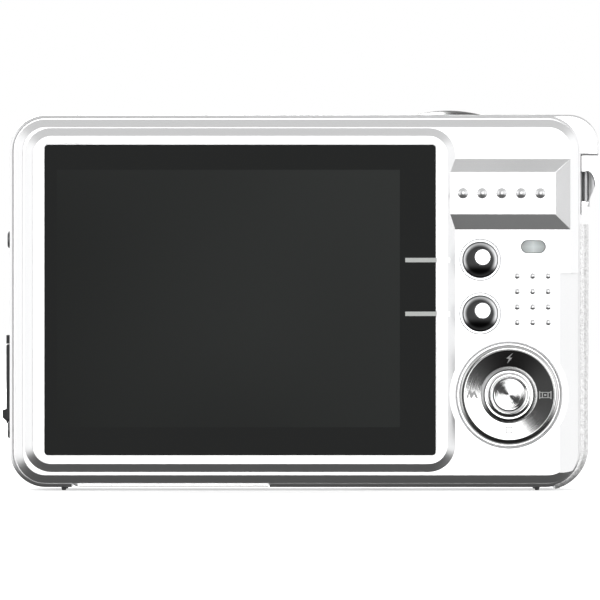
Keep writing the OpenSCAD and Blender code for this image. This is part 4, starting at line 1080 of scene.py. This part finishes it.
# %% Finishes for the inner parts
INNER = {
    "strap_bar": steel, "screen_panel": plastics["black_plastic"], "screen_backlight": steel,
    "screen_flex": plastics["flex"], "four_way_gimbal": plastics["gimbal"], "shutter_spring": steel,
    "key_board": plastics["circuit_board"], "key_switches": steel,
    "top_board": plastics["circuit_board"], "top_switches": steel,
    "main_board": plastics["circuit_board"], "board_chips": plastics["black_plastic"],
    "chassis": steel, "battery_bay": plastics["black_plastic"], "battery": plastics["battery_wrap"],
    "battery_contacts": contacts, "battery_latch": plastics["latch_orange"],
    "door_hinge_pin": steel, "door_latch": plastics["rubber"], "memory_card": plastics["card_shell"],
    "card_contacts": contacts, "lens_cover_glass": lens_glass, "lens_barrel": plastics["black_plastic"],
    "front_element": lens_glass, "rear_element": lens_glass, "infrared_filter": filter_glass,
    "image_sensor": plastics["sensor"], "sensor_board": plastics["circuit_board"],
    "flash_reflector": chrome, "flash_tube": flash_cover,
    "flash_capacitor": plastics["capacitor_sleeve"], "timer_lamp": plastics["lamp"],
    "microphone": steel, "speaker": plastics["speaker_cone"], "usb_socket": steel,
    "usb_board": plastics["circuit_board"], "usb_flap_root": plastics["rubber"],
    "tripod_insert": steel,
}
shown = {node for node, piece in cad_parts.items() if not piece.hide_render}
print("nodes with no finish:", sorted(shown - set(INNER)))
for node, finish in INNER.items():
    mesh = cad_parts[node].data
    mesh.materials.clear()
    mesh.materials.append(finish)

# %% [markdown]
# # Studio
# Small products are shot with a long lens from straight behind, in a white tent with a big soft
# light near the camera and darkness under the table edge. The room here is the world's colour by
# direction: bright at the sides, grey above, dark below, dark round the camera, and dim above the
# far side, so that a face seen edge-on shows as a line. The pale floor glows a little to meet the
# white behind it, and is left out of the reflections, since on a real table it would be far below.

# %% Camera
view_mid = (shell_bot + shell_top) / 2 + 0.16 * MM
eye = bpy.data.cameras.new("eye")
eye.lens, eye.sensor_width = 450, 36
camera = bpy.data.objects.new("camera_eye", eye)
camera.location = (0, frame_y - 1.2, view_mid)
camera.rotation_euler = (math.pi / 2, 0, 0)
bpy.context.scene.collection.objects.link(camera)
bpy.context.scene.camera = camera
bpy.context.scene.view_settings.view_transform = "Standard"

# %% Room
world = bpy.data.worlds.new("room")
bpy.context.scene.world = world
world.use_nodes = True
tree = world.node_tree


class Room(Finish):
    """The world's nodes, made with the same sums as a finish."""

    def __init__(self, tree):
        self.tree = tree
        self.shader = tree.nodes["Background"]


room = Room(tree)
gaze = room.node("ShaderNodeTexCoord", out="Generated")
toward = [room.node("ShaderNodeSeparateXYZ", {}, {0: gaze}, out=k) for k in range(3)]
RAMP = {"interpolation_type": "SMOOTHERSTEP"}


def blend(value, low_at, high_at, low_to, high_to):
    """A smooth step of a number between two places."""
    return room.node("ShaderNodeMapRange", RAMP, {0: value, 1: low_at, 2: high_at, 3: low_to, 4: high_to})


SIDES, ABOVE, BELOW = 1.25, 0.52, 0.04
height = blend(toward[Z], -0.55, -0.12, BELOW, SIDES) * blend(toward[Z], 0.35, 0.8, 1.0, ABOVE)
facing = blend(toward[Y] * -1, 0.62, 0.8, 1.0, 0.06)
grazing = blend(toward[Y], 0.5, 0.75, 0, 0.8) * blend(toward[Z], 0.06, 0.22, 0, 1)
light_now = height * facing * (1 - grazing)
seen = room.node("ShaderNodeLightPath", out="Is Camera Ray")
room.set(room.shader, {"Color": room.mix(seen, light_now, (1, 1, 1, 1)), "Strength": 1.0})



# %% Lights
def soft_light(name, place, target, size, power):
    """A round area light that the camera doesn't see."""
    lamp = bpy.data.lights.new(name, "AREA")
    lamp.shape, lamp.size, lamp.energy = "DISK", size, power
    lit = bpy.data.objects.new(name, lamp)
    lit.location = place
    lit.rotation_euler = (Vector(target) - Vector(place)).to_track_quat("-Z", "Y").to_euler()
    lit.visible_camera = False
    bpy.context.scene.collection.objects.link(lit)


target = (0, 0, view_mid)
soft_light("key_light", (0.26, -1.62, view_mid + 0.24), target, 1.36, 12)
soft_light("lens_side_light", (-0.4, 1.3, 0.7), target, 0.9, 14)

# %% Floor
bpy.ops.object.select_all(action="DESELECT")
bpy.ops.mesh.primitive_plane_add(size=6, location=(0, 0, 0))
floor = settle(bpy.context.object, "floor")
bpy.ops.object.mode_set(mode="EDIT")
bpy.ops.mesh.select_all(action="SELECT")
bpy.ops.mesh.subdivide(number_cuts=4)
close()
board = Finish("floor_board", Emission_Color=(1, 1, 1, 1), Emission_Strength=0.5)
here = board.place()[3]
floor.data.materials.append(board.wear(board.mix(board.noise(here, 0.01), grey(0.93), grey(0.96)),
                                       0.8 + board.noise(here, 0.05) * 0.05))
floor.visible_glossy = False
floor.visible_diffuse = False
floor.visible_shadow = False
